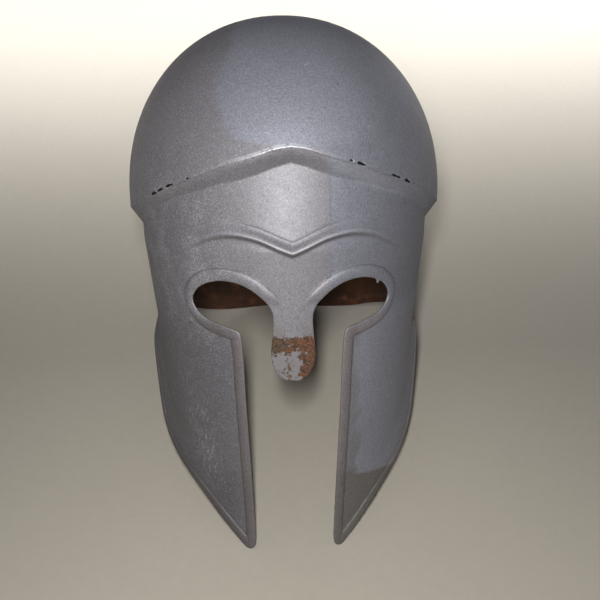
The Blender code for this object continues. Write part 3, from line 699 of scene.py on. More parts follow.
# %% [markdown]
# ## Welds
#
# The plates were welded from both sides. Outside, the bead was ground flush and painted with the rest, so the
# joint shows only where the weld was thin and small holes opened under the grinder. Inside, the bead was left
# as it came: a low rib with ripples. The strip lies a hair proud of the plates and laps over both.

# %% Where the weld broke through
# (degrees from the nose, mm above the seam, half length in mm, half width in mm)
PINHOLES = [(-51.5, 0.2, 1.7, 1.1), (-50.2, -0.3, 1.0, 0.8), (-47.6, 0.1, 2.9, 0.9), (-43.6, 0.2, 2.1, 1.0),
            (-42.0, 0.0, 1.2, 0.7), (-35.2, 0.2, 1.0, 0.7), (20.1, 0.3, 0.9, 0.8), (23.3, -0.1, 2.1, 1.1),
            (24.6, -0.3, 1.0, 0.7), (36.6, 0.2, 2.2, 0.85), (38.6, 0.1, 1.5, 0.8), (42.6, 0.0, 1.9, 1.1),
            (44.0, -0.6, 1.0, 0.6), (46.6, 0.2, 0.7, 0.5), (49.6, 0.0, 0.6, 0.5), (54.5, 0.2, 0.8, 0.45),
            (140.0, 0.2, 0.9, 0.6), (163.0, -0.2, 1.2, 0.6), (205.0, 0.1, 1.0, 0.5), (222.0, 0.3, 0.7, 0.6)]
PIT_DEPTH = 1.2 * MM
WELD_PROUD = 0.03 * MM
WELD_ROOT = 1.0 * MM
WELD_LAP = 0.5 * MM
WELD_END = 0.2
WELD_UNDER = 0.02 * MM
RIPPLE = 0.12 * MM
print("holes in the weld:", len(PINHOLES))


# %% Make the seam welds
def pit_depth(turn, above):
    """How deep the weld is broken, from 0 to 1."""
    depth = 0.0
    for at, lift, half_long, half_wide in PINHOLES:
        along = (arc_of(turn) - arc_of(at)) / (half_long * MM)
        across = (above / MM - lift) / half_wide
        depth = depth + np.exp(-(along ** 2 + across ** 2) ** 1.5)
    return np.minimum(depth, 1)


def seam_surface(turn, above):
    """Outer surface on both sides of the seam, and its outward normal, as rows across the seam."""
    shape = turn.shape + (3,)
    turn, above = turn.ravel(), above.ravel()
    seam, s = seam_height(turn), arc_of(turn)
    under = (above < 0)[:, None]
    high = bowl_point(turn, seam + np.maximum(above, 0))
    points = np.where(under, wall(s, seam + np.minimum(above, 0)), high).reshape(shape)
    plate_normal = normals(wall, s, seam + np.minimum(above, -0.3 * MM))
    normal = np.where(under, plate_normal, bowl_normal(high)).reshape(shape)
    for _ in range(2):
        for field in (points, normal):
            field[:, 1:-1] = (field[:, :-2] + 2 * field[:, 1:-1] + field[:, 2:]) / 4
    return points, normal / np.linalg.norm(normal, axis=2)[..., None]


def lapped(low, high, count):
    """Places across a joint, with one more on either side for the lap over the plates."""
    return np.concatenate([[low - WELD_LAP], np.linspace(low, high, count), [high + WELD_LAP]])


def make_bead(name, outer, inner, pit, edge):
    """Closed bead from its outer and inner faces; pit and edge are measures for the primer."""
    rows = outer.shape[1]
    rings = np.concatenate([outer, inner[:, ::-1]], 1)
    finish = [PRIMER] * (rows - 1) + [BARE] * (rows + 1)
    measures = {"pit": pit.ravel(), "edge": edge.ravel(), "above_brow": np.full(pit.size, FAR)}
    piece = swept(name + "_bead", rings, finish=finish, measures=measures)
    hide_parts(name)
    print(name, "faces:", len(piece.data.polygons))
    return piece


def make_seam_weld(name, first, last, step):
    above = lapped(-JOINT_BELOW, JOINT_HALF, 13)
    hump = np.sin(np.linspace(0, math.pi, len(above)))
    turn, above = np.meshgrid(np.linspace(first, last, round((last - first) / step)), above, indexing="ij")
    points, normal = seam_surface(turn, above)
    pit = pit_depth(turn, above)
    outer = points + (WELD_PROUD * hump - PIT_DEPTH * pit)[..., None] * normal
    ripple = RIPPLE * np.sin(turn * 4.1) + 0.5 * RIPPLE * np.sin(turn * 9.7)
    depth = SHEET + (WELD_ROOT + ripple) * hump + WELD_UNDER
    inner = points - depth[..., None] * normal
    pits = np.concatenate([pit, 0 * pit], 1)
    return make_bead(name, outer, inner, pits, np.full(pits.shape, FAR))


seam_welds = [make_seam_weld("seam_weld_front", -SIDE_JOINT + WELD_END, SIDE_JOINT - WELD_END, 0.25),
              make_seam_weld("seam_weld_rear", SIDE_JOINT + WELD_END, 360 - SIDE_JOINT - WELD_END, 0.5)]


# %% Make the side welds
FOOT_ROUND = 0.4
FOOT_REACH = 0.3 * MM
FOOT_CUT = 0.5 * MM


def make_side_weld(name, side):
    """Bead in the upright joint between the face plate and the neck guard."""
    centre = side * float(arc_of(SIDE_JOINT))
    top = float(seam_height(SIDE_JOINT)) - JOINT_BELOW
    bottom = FACE_EDGE[-1, 1] + PLATE_LAP
    across = lapped(-JOINT_HALF, JOINT_HALF, 9)
    hump = np.sin(np.linspace(0, math.pi, len(across)))
    height, s = np.meshgrid(np.linspace(bottom, top, 150), centre + across, indexing="ij")
    points = wall(s.ravel(), height.ravel()).reshape(s.shape + (3,))
    normal = normals(wall, s.ravel(), height.ravel()).reshape(points.shape)
    round_off = FOOT_ROUND * np.exp(-(height - bottom) / FOOT_REACH)
    ripple = RIPPLE * np.sin(height / (0.55 * MM)) + 0.5 * RIPPLE * np.sin(height / (0.23 * MM))
    outer = points + (WELD_PROUD * hump - round_off * FOOT_CUT)[..., None] * normal
    depth = (SHEET + WELD_UNDER + (WELD_ROOT + ripple) * hump) * (1 - FOOT_ROUND * round_off)
    inner = points - depth[..., None] * normal
    edges = np.tile((height - bottom) / MM, (1, 2))
    return make_bead(name, outer, inner, 0 * edges, edges)


side_welds = [make_side_weld("side_weld_right", 1), make_side_weld("side_weld_left", -1)]
print("height of the side welds in mm:", round((float(seam_height(SIDE_JOINT)) - FACE_EDGE[-1, 1]) / MM, 1))

# %% [markdown]
# ## Liner
#
# A steel shell can't sit on a head by itself. Six spring-steel clips are welded inside the bowl, and a
# leather headband, six tongues and a crown disc are riveted to them and to each other, with a washer under
# each clenched rivet. The sizes repeat the packed model's; the leather gets rounded edges and a slow wave.

# %% Driving sizes of the liner
GAP = 0.3 * MM
BAND_CENTRE_Y = 10 * MM
BAND_HALF_WIDTH = 99 * MM
BAND_HALF_LENGTH = 122 * MM
BAND_LOW = 4 * MM
BAND_HIGH = 32 * MM
BAND_THICK = 3 * MM
BAND_ROUND = 1.1 * MM
TONGUE_START = BAND_LOW + 4 * MM
TONGUE_THICK = 2 * MM
TONGUE_ROUND = 0.7 * MM
TONGUE_CORNER = 5 * MM
TONGUE_WIDE = 46 * MM
TONGUE_NARROW = 15 * MM
CROWN_HEIGHT = 78 * MM
CROWN_DISC = 38 * MM
CROWN_THICK = 2.5 * MM
CROWN_SHARE = 0.2
CROWN_RIVET_LEAN = 82
CROWN_SLACK = 1.5 * MM
CLIP_ANGLES = (30, 90, 150, 210, 270, 330)
CLIP_WIDTH = 13 * MM
CLIP_THICK = 1.2 * MM
CLIP_ROUND = 0.35 * MM
CLIP_CORNER = 4 * MM
CLIP_BOTTOM = -9 * MM
CLIP_BEND = 14 * MM
CLIP_FOOT = (26 * MM, 40 * MM)
RIVET_SHANK = 1.8 * MM
RIVET_HEAD = 4.2 * MM
HEAD_TALL = 1.1 * MM
HEAD_RIM = 0.35 * MM
HOLE = RIVET_SHANK + GAP
WASHER_RADIUS = 5.5 * MM
WASHER_THICK = 1.0 * MM
print("headband inside, in mm:", round(2 * (BAND_HALF_WIDTH - BAND_THICK) / MM), "x",
      round(2 * (BAND_HALF_LENGTH - BAND_THICK) / MM))


# %% Places on the liner
def band_point(turn, inward, height, scale=1.0):
    """Point on the oval of the headband, a set depth inside its outer face."""
    a = np.radians(turn)
    out_x, out_y = np.sin(a) / BAND_HALF_WIDTH, -np.cos(a) / BAND_HALF_LENGTH
    size = np.hypot(out_x, out_y)
    x = BAND_HALF_WIDTH * np.sin(a) * scale - out_x / size * inward
    y = -BAND_HALF_LENGTH * np.cos(a) * scale - out_y / size * inward + BAND_CENTRE_Y
    return np.stack(np.broadcast_arrays(x, y, height), -1)


def tongue_arc(lean):
    """Share of the headband's size, and height, where a tongue has turned by some degrees."""
    a = math.radians(lean)
    return CROWN_SHARE + (1 - CROWN_SHARE) * math.cos(a), BAND_HIGH + (CROWN_HEIGHT - BAND_HIGH) * math.sin(a)


def band_frame(turn):
    """Local axes on the headband's outer face: X along it, Y outwards, Z up."""
    a = math.radians(turn)
    out = Vector((math.sin(a) / BAND_HALF_WIDTH, -math.cos(a) / BAND_HALF_LENGTH, 0)).normalized()
    up = Vector((0, 0, 1))
    axes = Matrix((out.cross(up), out, up)).transposed().to_4x4()
    axes.translation = Vector(band_point(turn, 0, (BAND_LOW + BAND_HIGH) / 2))
    return axes


def crown_frame(turn):
    """Local axes where a tongue meets the crown disc: Y upwards."""
    share, height = tongue_arc(CROWN_RIVET_LEAN)
    place = Vector(band_point(turn, BAND_THICK + GAP, height, share))
    away = Vector((place.x, place.y - BAND_CENTRE_Y, 0)).normalized()
    up = Vector((0, 0, 1))
    axes = Matrix((up.cross(away), up, away)).transposed().to_4x4()
    axes.translation = Vector((place.x, place.y, CROWN_HEIGHT))
    return axes


first_rivet = band_frame(CLIP_ANGLES[0]).translation
print("first rivet, helmet coordinates in mm:", [round(c / MM, 1) for c in first_rivet])

# %% [markdown]
# ## Headband
#
# A strip of thick leather bent into an oval. Its section is a rounded strip standing on edge, and a slow wave
# of under a millimetre keeps it from looking machined. It carries its own length and height as measures, so
# that the finish can put the stitching where a saddler would.


# %% Make the headband
def make_headband():
    width = BAND_HIGH - BAND_LOW
    middle = (BAND_LOW + BAND_HIGH) / 2
    section = strip_section(width, BAND_THICK, BAND_ROUND, across=14)
    rings, along, across = [], [], []
    count = 240
    run = 0.0
    before = band_point(0, 0, 0)
    for i in range(count):
        turn = 360 * i / count
        here = band_point(turn, 0, 0)
        run += float(np.linalg.norm(here - before))
        before = here
        a = math.radians(turn)
        sway = 0.25 * MM * math.sin(5 * a) + 0.15 * MM * math.sin(11 * a + math.radians(40))
        lean = section[:, 0] / width
        inward = section[:, 1] + (0.35 * MM + sway) * (0.5 + lean) * (lean > -0.3)
        rings.append(band_point(turn, np.clip(inward, 0, None), middle + section[:, 0] * 0.985))
        along.append(np.full(len(section), run / MM))
        across.append((section[:, 0] + width / 2) / MM)
    measures = {"along": np.concatenate(along), "across": np.concatenate(across)}
    piece = swept("headband_leather", rings, closed=True, measures=measures)
    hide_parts("headband")
    print("headband round, in mm:", round(run / MM))
    return piece


headband = make_headband()

# %% [markdown]
# ## Tongues
#
# Six tongues rise from the headband and lean in to the crown. Each narrows towards the top, follows the oval
# at its foot, and has round corners at both ends.


# %% Make the tongues
def tongue_rows(count=30):
    """Share of the headband's size and height along a tongue, close together near the two ends."""
    rows = [(1.0, TONGUE_START + lift * MM) for lift in (0, 0.3, 1, 2.2, 3.6, 5, 10, 15, 20)]
    leans = np.concatenate([np.linspace(0, 84, count), [86, 87.5, 88.8, 89.6, 90]])
    return rows + [tongue_arc(lean) for lean in leans[1:]]


def make_tongue(number, turn):
    inward = BAND_THICK + GAP
    rows = tongue_rows()
    middle = np.array([band_point(turn, inward, height, share) for share, height in rows])
    run = run_along(middle)
    rings = []
    for k, (share, height) in enumerate(rows):
        width = TONGUE_WIDE + (TONGUE_NARROW - TONGUE_WIDE) * run[k] / run[-1]
        nearest = min(run[k], run[-1] - run[k])
        cut = 1 - min(nearest / TONGUE_CORNER, 1)
        width -= 2 * TONGUE_CORNER * (1 - math.sqrt(1 - cut * cut))
        section = strip_section(width, TONGUE_THICK, TONGUE_ROUND)
        ahead, behind = middle[min(k + 1, len(rows) - 1)], middle[max(k - 1, 0)]
        reach = max(share, 0.25) * (BAND_HALF_WIDTH + BAND_HALF_LENGTH) / 2
        bent = turn + np.degrees(section[:, 0] / reach)
        points = band_point(bent, inward, height, share)
        side = band_point(bent + 1, inward, height, share) - band_point(bent - 1, inward, height, share)
        n = np.cross(side, ahead - behind)
        n /= np.linalg.norm(n, axis=1)[:, None]
        rings.append(points - n * section[:, 1:])
    piece = swept(f"leather_tongue_{number}", rings)
    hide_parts(f"tongue_{number}")
    return piece


tongues = [make_tongue(number, turn) for number, turn in enumerate(CLIP_ANGLES, start=1)]
print("tongues:", len(tongues))

# %% [markdown]
# ## Turned pieces
#
# The crown disc, the rivets and the washers are all a profile turned about an axis. The profile is a short
# outline of (radius, height) points; where it starts and ends on the axis the body closes by itself. Each
# point carries its radius as a measure, for the brown that gathers round a rivet.


# %% Turn a profile
def turned(name, profile, sides, axes):
    """Closed body of revolution about local Y; the profile closes on itself or on the axis."""
    on_axis = profile[0][0] == 0
    loop = profile[1:-1] if on_axis else profile
    angles = np.linspace(0, 2 * math.pi, sides, endpoint=False)
    verts = [(r * math.cos(a), y, r * math.sin(a)) for r, y in loop for a in angles]
    faces = grid_faces(len(loop), sides, closed=not on_axis)
    if on_axis:
        verts += [(0, profile[0][1], 0), (0, profile[-1][1], 0)]
        top = (len(loop) - 1) * sides
        for i in range(sides):
            k = (i + 1) % sides
            faces += [(len(verts) - 2, k, i), (len(verts) - 1, top + i, top + k)]
    turn = np.array(axes.to_3x3())
    placed = np.array(verts) @ turn.T + np.array(axes.translation)
    radius = np.hypot(np.array(verts)[:, 0], np.array(verts)[:, 2]) / MM
    return new_piece(name, placed, faces, None, {"radius": radius})


def rounded(radius_in, radius_out, low, high, corner):
    """Ring section with rounded corners."""
    points = []
    for x, y, start in ((radius_out - corner, high - corner, 0), (radius_in + corner, high - corner, 90),
                        (radius_in + corner, low + corner, 180), (radius_out - corner, low + corner, 270)):
        for step in range(4):
            a = math.radians(start + 30 * step)
            points.append((x + corner * math.cos(a), y + corner * math.sin(a)))
    return points


print("points in a washer's section:", len(rounded(2 * MM, 5 * MM, 0, MM, 0.2 * MM)))


# %% Make the crown disc
def make_crown():
    low = CROWN_HEIGHT + 2 * GAP
    high = low + CROWN_THICK
    corner = 1.0 * MM
    edge = []
    for a in np.radians([-90, -65, -40, -15, 15, 40, 65, 90]):
        level = high - corner if a > 0 else low + corner
        edge.append((CROWN_DISC - corner + corner * math.cos(a), level + corner * math.sin(a)))
    spread = [0, 8, 16, 24, 30, 34]
    profile = [(r * MM, low) for r in spread] + edge + [(r * MM, high) for r in spread[::-1]]
    axes = Matrix.Rotation(math.radians(90), 4, "X")
    axes.translation = Vector((0, BAND_CENTRE_Y, 0))
    piece = turned("leather_crown_disc", profile, 96, axes)
    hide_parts("crown_disc")
    return piece


crown_disc = make_crown()
print("crown disc across, in mm:", 2 * CROWN_DISC / MM)

# %% [markdown]
# ## Rivets and washers
#
# Each rivet is a tubular leather rivet: a domed cap on one side of the stack, and a clenched foot with a
# shallow dimple over the washer on the other. The washers have rolled edges.


# %% Make the rivets and washers
def rivet_profile(low, high):
    """Half outline of a set rivet, from the clenched foot to the domed cap."""
    foot = [(0, low - 0.7 * HEAD_TALL), (0.9 * MM, low - 0.72 * HEAD_TALL),
            (1.5 * MM, low - 0.98 * HEAD_TALL)]
    foot += [(0.75 * RIVET_HEAD + 0.9 * MM * math.sin(t), low - HEAD_TALL * 0.5 * (1 + math.cos(t)))
             for t in np.radians([0, 40, 80, 120])]
    cap = [(RIVET_HEAD * math.cos(t), high + HEAD_RIM + (HEAD_TALL - HEAD_RIM) * math.sin(t))
           for t in np.radians([0, 20, 40, 58, 74])]
    return foot + [(RIVET_SHANK, low), (RIVET_SHANK, high), (RIVET_HEAD - 0.25 * MM, high)] + cap + [
        (0, high + HEAD_TALL)]


def make_fixing(kind, number, axes, stack, top):
    """One rivet and its washer: stack is what lies under the rivet's foot, top what lies under its cap."""
    washer = turned(f"{kind}rolled_washer_{number}",
                    rounded(HOLE, WASHER_RADIUS, -stack - WASHER_THICK, -stack, 0.25 * MM), 40, axes)
    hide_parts(f"{kind}washer_{number}")
    rivet = turned(f"{kind}domed_rivet_{number}", rivet_profile(-stack - WASHER_THICK - GAP, top), 36, axes)
    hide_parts(f"{kind}rivet_{number}")
    return [washer, rivet]


fixings = []
for number, turn in enumerate(CLIP_ANGLES, start=1):
    fixings += make_fixing("", number, band_frame(turn), BAND_THICK + TONGUE_THICK + 2 * GAP,
                           CLIP_THICK + 2 * GAP)
    fixings += make_fixing("crown_", number, crown_frame(turn), TONGUE_THICK + CROWN_SLACK,
                           CROWN_THICK + 4 * GAP)
print("rivets and washers:", len(fixings))

# %% [markdown]
# ## Clips
#
# A clip is a strip of spring steel with easy bends. Its foot lies against the inside of the bowl, so the
# bowl's own formula says how far out the foot has to reach, and its leg hangs just outside the headband.


# %% Make the clips
def room_to_bowl(point, out):
    """How far the bowl's outer face is from a point, going straight outwards."""
    low, high = -40 * MM, 60 * MM
    for _ in range(40):
        middle = (low + high) / 2
        p = point + out * middle
        depth = BOWL_FRONT if p.y < 0 else BOWL_BACK
        size = max(1 - max(p.z / BOWL_TOP, 0) ** BOWL_ROUNDNESS, 0) ** (1 / BOWL_ROUNDNESS)
        if math.hypot(p.x / BOWL_HALF_WIDTH, p.y / depth) < size:
            low = middle
        else:
            high = middle
    return low


def clip_line(axes):
    """Outward reach and height along a clip's front face, with the bends eased."""
    out = (axes.to_3x3() @ Vector((0, 1, 0))).normalized()
    foot = []
    for z in CLIP_FOOT:
        gaps = [room_to_bowl(axes @ Vector((x, 0, z)), out) for x in (-CLIP_WIDTH / 2, 0, CLIP_WIDTH / 2)]
        foot.append(min(gaps) - 1.25 * SHEET - CLIP_THICK)
    corners = [(GAP, CLIP_BOTTOM), (GAP, CLIP_BEND), (foot[0], CLIP_FOOT[0]), (foot[1], CLIP_FOOT[1])]
    line = even(corners, 0.8 * MM)
    for _ in range(12):
        line[1:-1] = (line[:-2] + 2 * line[1:-1] + line[2:]) / 4
    return line


def make_clip(number, turn):
    axes = band_frame(turn)
    frame3, place = np.array(axes.to_3x3()), np.array(axes.translation)
    line = clip_line(axes)
    run = run_along(line)
    rings = []
    for k, (y, z) in enumerate(line):
        ahead, behind = line[min(k + 1, len(line) - 1)], line[max(k - 1, 0)]
        slope = (ahead - behind) / np.linalg.norm(ahead - behind)
        cut = 1 - min(min(run[k], run[-1] - run[k]) / CLIP_CORNER, 1)
        wide = CLIP_WIDTH - 2 * CLIP_CORNER * (1 - math.sqrt(1 - 0.95 * cut * cut))
        section = strip_section(wide, CLIP_THICK, CLIP_ROUND, across=4)
        local = np.stack([section[:, 0], y + slope[1] * section[:, 1], z - slope[0] * section[:, 1]], -1)
        rings.append(local @ frame3.T + place)
    piece = swept(f"sprung_clip_{number}", rings)
    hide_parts(f"liner_clip_{number}")
    return piece


clips = [make_clip(number, turn) for number, turn in enumerate(CLIP_ANGLES, start=1)]
print("clips:", len(clips))

# %% [markdown]
# ## A small language for finishes
#
# A finish is arithmetic on what changes over a surface: place, noise, distance to the edge. The class below
# wraps one socket of a material's node tree and lets Python's own operators add the Math nodes, so that a
# mask reads like a formula. Any other node comes from its `node` method: kind, settings, then socket values.


# %% Sockets with operators
class Field:
    """A value that changes over the surface: one socket of a node tree."""

    def __init__(self, tree, socket=None):
        self.tree = tree
        self.socket = socket

    def node(self, kind, settings=None, values=None, out=0):
        made = self.tree.nodes.new("ShaderNode" + kind)
        for key, setting in (settings or {}).items():
            setattr(made, key, setting)
        for key, value in (values or {}).items():
            if isinstance(value, Field):
                self.tree.links.new(value.socket, made.inputs[key])
            else:
                made.inputs[key].default_value = value
        return Field(self.tree, made.outputs[out])

    def maths(self, operation, first, second):
        return self.node("Math", {"operation": operation}, {0: first, 1: second})

    def __add__(self, other):
        return self.maths("ADD", self, other)

    __radd__ = __add__

    def __sub__(self, other):
        return self.maths("SUBTRACT", self, other)

    def __rsub__(self, other):
        return self.maths("SUBTRACT", other, self)

    def __mul__(self, other):
        return self.maths("MULTIPLY", self, other)

    __rmul__ = __mul__

    def __truediv__(self, other):
        return self.maths("DIVIDE", self, other)

    def __abs__(self):
        return self.maths("ABSOLUTE", self, 0)

    def most(self, other):
        return self.maths("MAXIMUM", self, other)

    def rise(self, low, high):
        """0 at low, 1 at high, smooth between; low may be above high."""
        return self.node("MapRange", {"interpolation_type": "SMOOTHSTEP"},
                         {"Value": self, "From Min": low, "From Max": high})

    def hump(self, middle, reach):
        """1 in the middle, 0 at a reach on either side."""
        return abs(self - middle).rise(reach, 0)


print("a Field's own methods:", [name for name in vars(Field) if not name.startswith("_")])


# %% A finish and its usual ingredients
class Finish:
    """One material: its surface shader, and the places and noises that its formulas use."""

    def __init__(self, name, **constants):
        self.material = bpy.data.materials.new(name)
        self.material.use_nodes = True
        self.tree = self.material.node_tree
        self.shader = self.tree.nodes["Principled BSDF"]
        for key, value in constants.items():
            self.shader.inputs[key.replace("_", " ")].default_value = value
        start = Field(self.tree)
        self.node = start.node
        on_table = start.node("TexCoord", out=3)
        self.place = start.node("Mapping", {"vector_type": "TEXTURE"},
                                {"Vector": on_table, "Location": ORIGIN, "Rotation": (-LEAN, 0, 0)})
        self.x, self.y, self.z = (self.node("SeparateXYZ", None, {0: self.place}, out=i) for i in range(3))

    def measure(self, name):
        """A measure that rides on the piece's points."""
        return self.node("Attribute", {"attribute_name": name}, out=2)

    def noise(self, scale, detail=3.0, rough=0.5, stretch=(1, 1, 1)):
        """Cloudy noise from 0 to 1; scale is in clouds for each metre."""
        place = self.node("VectorMath", {"operation": "MULTIPLY"}, {0: self.place, 1: stretch})
        values = {"Vector": place, "Scale": scale, "Detail": detail, "Roughness": rough}
        return self.node("TexNoise", None, values)

    def blend(self, share, first, second, kind="MIX"):
        """Colour that goes from first to second as share goes from 0 to 1."""
        settings = {"data_type": "RGBA", "blend_type": kind}
        return self.node("Mix", settings, {0: share, 6: first, 7: second}, out=2)

    def shade(self, colour, amount):
        """Colour multiplied by a number that changes over the surface."""
        grey = self.node("CombineColor", None, {0: amount, 1: amount, 2: amount})
        return self.blend(1.0, colour, grey, "MULTIPLY")

    def bump(self, height, strength, depth):
        return self.node("Bump", None, {"Height": height, "Strength": strength, "Distance": depth})

    def connect(self, **fields):
        for key, field in fields.items():
            self.tree.links.new(field.socket, self.shader.inputs[key.replace("_", " ")])
        return self.material


def tone(red, green, blue):
    """A colour from the numbers of a colour picker (0 to 255), as the shader wants it."""
    parts = [c / 255 for c in (red, green, blue)]
    return tuple(c / 12.92 if c <= 0.04045 else ((c + 0.055) / 1.055) ** 2.4 for c in parts) + (1.0,)


print("picker grey 128 as light:", round(tone(128, 128, 128)[0], 3))

# %% [markdown]
# ## Grey primer
#
# The shell was sprayed by hand with a primer that has metal flake in it, so the finish is partly metallic.
# The two coats don't quite match: a warm grey below, and over it a cooler grey on the bowl's middle and
# right, the right temple and part of the right cheek guard, with soft borders. Dry overspray left light
# flecks, most of them at the left temple, and light hairs low on the left guard. The seam over the nose is
# worn smoother. Painted highlights lighten that seam, the brow's crest, the cool coat on the bowl's middle
# and the step right of the nose, and painted shade darkens the border's foot and the underside of the brow.
# The masks are places in the helmet's own coordinates, bent by noise so that no border runs straight.

# %% Tones and places of the primer
WARM = tone(116, 114, 119)
COOL = tone(114, 115, 124)
BORDER_TONE = tone(110, 104, 105)
BARE_PATCH = tone(110, 107, 103)
# Light grey of dry overspray and scratches, also used for painted highlights.
DRY_SPRAY_AND_HIGHLIGHT = tone(186, 186, 192)
# Dark grey of dirt specks and chips, also used as painted shade in the creases.
DIRT_AND_SHADE = tone(58, 53, 52)
RUST_LIGHT = tone(96, 60, 41)
RUST_DARK = tone(44, 35, 27)
RUST_OLIVE = tone(78, 61, 43)
OLD_PAINT = tone(100, 97, 99)
PIT_BLACK = tone(12, 10, 9)
# (across, up, degrees from level, half length), in mm
SCRATCHES = [(-13.6, 59.5, -12, 2.6), (-57, 15.4, -6, 3.0), (-52, 14.6, 4, 1.6), (70, -120, 80, 3.0),
             (48, 60, 30, 2.2), (-80, 30, 60, 2.4), (12, 95, 20, 3.5)]
SCRATCH_WIDTH = 0.35 * MM
# (across, up, radius), in mm
DARK_SPECKS = [(-66.3, -67.5, 1.1), (-88, -178, 1.2), (-47, -71, 0.8), (75, 8, 0.7), (30, 84, 0.7)]
print("scratches:", len(SCRATCHES))


# %% Masks of the primer
BOWL_BORDER = -30 * MM
BOWL_BORDER_BULGE = -14 * MM
BROW_BORDER = 23.5 * MM
GUARD_BORDER = 43 * MM


def cool_coat(f):
    """Where the cooler coat lies: right of a border that moves with height, above a slanting hem."""
    below_bowl = f.z.rise(56 * MM, 48 * MM)
    guards = f.z.rise(-35 * MM, -70 * MM)
    border_x = BOWL_BORDER + BOWL_BORDER_BULGE * f.z.hump(80 * MM, 45 * MM)
    border_x += (BROW_BORDER - BOWL_BORDER) * below_bowl + (GUARD_BORDER - BROW_BORDER) * guards
    wobble = (f.noise(48, 2) - 0.5) * 17 * MM
    spread = 8 * MM - 2 * MM * below_bowl
    right = ((f.x - border_x + wobble) / spread).rise(-0.5, 0.7)
    hem = f.z + 0.33 * (f.x - 35.5 * MM) + 176 * MM + (f.noise(90, 2) - 0.5) * 5 * MM
    return right * hem.rise(-1.2 * MM, 1.2 * MM)


def dry_specks(f, density):
    """Fine ragged flecks of dry overspray, more of them where density is higher."""
    fine = (f.noise(1150, 2, 0.6) + 0.17 * density).rise(0.66, 0.74)
    coarse = (f.noise(640, 3, 0.7) + 0.13 * density).rise(0.69, 0.75)
    return fine * 0.8 + coarse * 0.5


def spray_density(f):
    """Dense in clouds at the left temple, thinner on the rest of the left, thinnest on the right."""
    temple = f.x.rise(-22 * MM, -62 * MM) * f.z.rise(48 * MM, 8 * MM) * f.z.rise(-105 * MM, -55 * MM)
    left = f.x.rise(10 * MM, -60 * MM)
    clouds = f.noise(60, 3).rise(0.35, 0.65)
    return 0.1 + 0.35 * left + 0.5 * temple * clouds + 0.1 * temple


def hairs(f):
    """Light upright hairs low on the left guard."""
    line = f.x + 62 * MM + 0.18 * (f.z + 150 * MM) + (f.noise(120, 2) - 0.5) * 10 * MM
    place = line.hump(0, 15 * MM) * f.z.hump(-148 * MM, 62 * MM) * f.y.rise(-20 * MM, -40 * MM)
    bent = f.noise(900, 3, 0.65, stretch=(1, 1, 0.24)).rise(0.53, 0.63)
    return place * bent * f.noise(210, 2).rise(0.30, 0.52)


def marks(f):
    """Scratches (light) and small chips (dark) at their places on the front."""
    front = f.y.rise(0, -10 * MM)
    light, dark = 0, 0
    for across, up, lean, half in SCRATCHES:
        c, s = math.cos(math.radians(lean)), math.sin(math.radians(lean))
        dx, dz = f.x - across * MM, f.z - up * MM
        along, off = dx * c + dz * s, dz * c - dx * s
        light = along.hump(0, half * MM) * off.hump(0, SCRATCH_WIDTH) + light
    for across, up, radius in DARK_SPECKS:
        dx, dz = f.x - across * MM, f.z - up * MM
        dark = (dx * dx + dz * dz).rise((radius * MM) ** 2, (0.4 * radius * MM) ** 2) + dark
    return light * front, dark * front


print("cooler coat starts at these places across, in mm: bowl", BOWL_BORDER / MM, "brow", BROW_BORDER / MM,
      "guard", GUARD_BORDER / MM)

# %% [markdown]
# The tip of the nasal was handled bare. The primer is worn off there in a ragged line, and shows rust, mostly
# along the top of the patch and on its right, around remains of an older light-grey paint.


# %% Worn tip of the nasal
WEAR_TOP = -66.8 * MM


def worn_nasal(f):
    """Where the primer is worn off, and where rust shows inside that."""
    tip = f.y.rise(-100 * MM, -104 * MM) * abs(f.x).rise(17.5 * MM, 16.5 * MM)
    ragged = f.z + (f.noise(330, 5, 0.65) - 0.5) * 11 * MM
    worn = tip * ragged.rise(WEAR_TOP + 0.5 * MM, WEAR_TOP - 0.5 * MM)
    top = f.z.rise(-79 * MM, -73 * MM)
    right = f.x.rise(1.5 * MM, 7 * MM)
    amount = 0.43 + 0.14 * top + 0.17 * right
    rust = (amount - f.noise(210, 7, 0.72)).rise(-0.012, 0.016)
    return worn, rust


def nasal_colour(f, rust):
    light = f.blend(f.x.rise(5 * MM, -7 * MM) * f.noise(180, 3).rise(0.3, 0.6), RUST_LIGHT, RUST_OLIVE)
    rusty = f.blend(f.noise(760, 5, 0.75).rise(0.41, 0.60), RUST_DARK, light)
    spots = f.noise(520, 3, 0.6).rise(0.66, 0.70)
    paint = f.shade(f.blend(spots, OLD_PAINT, DIRT_AND_SHADE), 0.86 + 0.28 * f.noise(420, 3))
    return f.blend(rust, paint, rusty)


print("the worn patch starts, in mm below the bowl's middle:", -WEAR_TOP / MM)


# %% Colour of the primer, with painted shade in its creases
# Painted shade runs along the border's foot, this far from the edge in mm.
BORDER_FOOT = BORDER_WIDTH / MM + 0.15


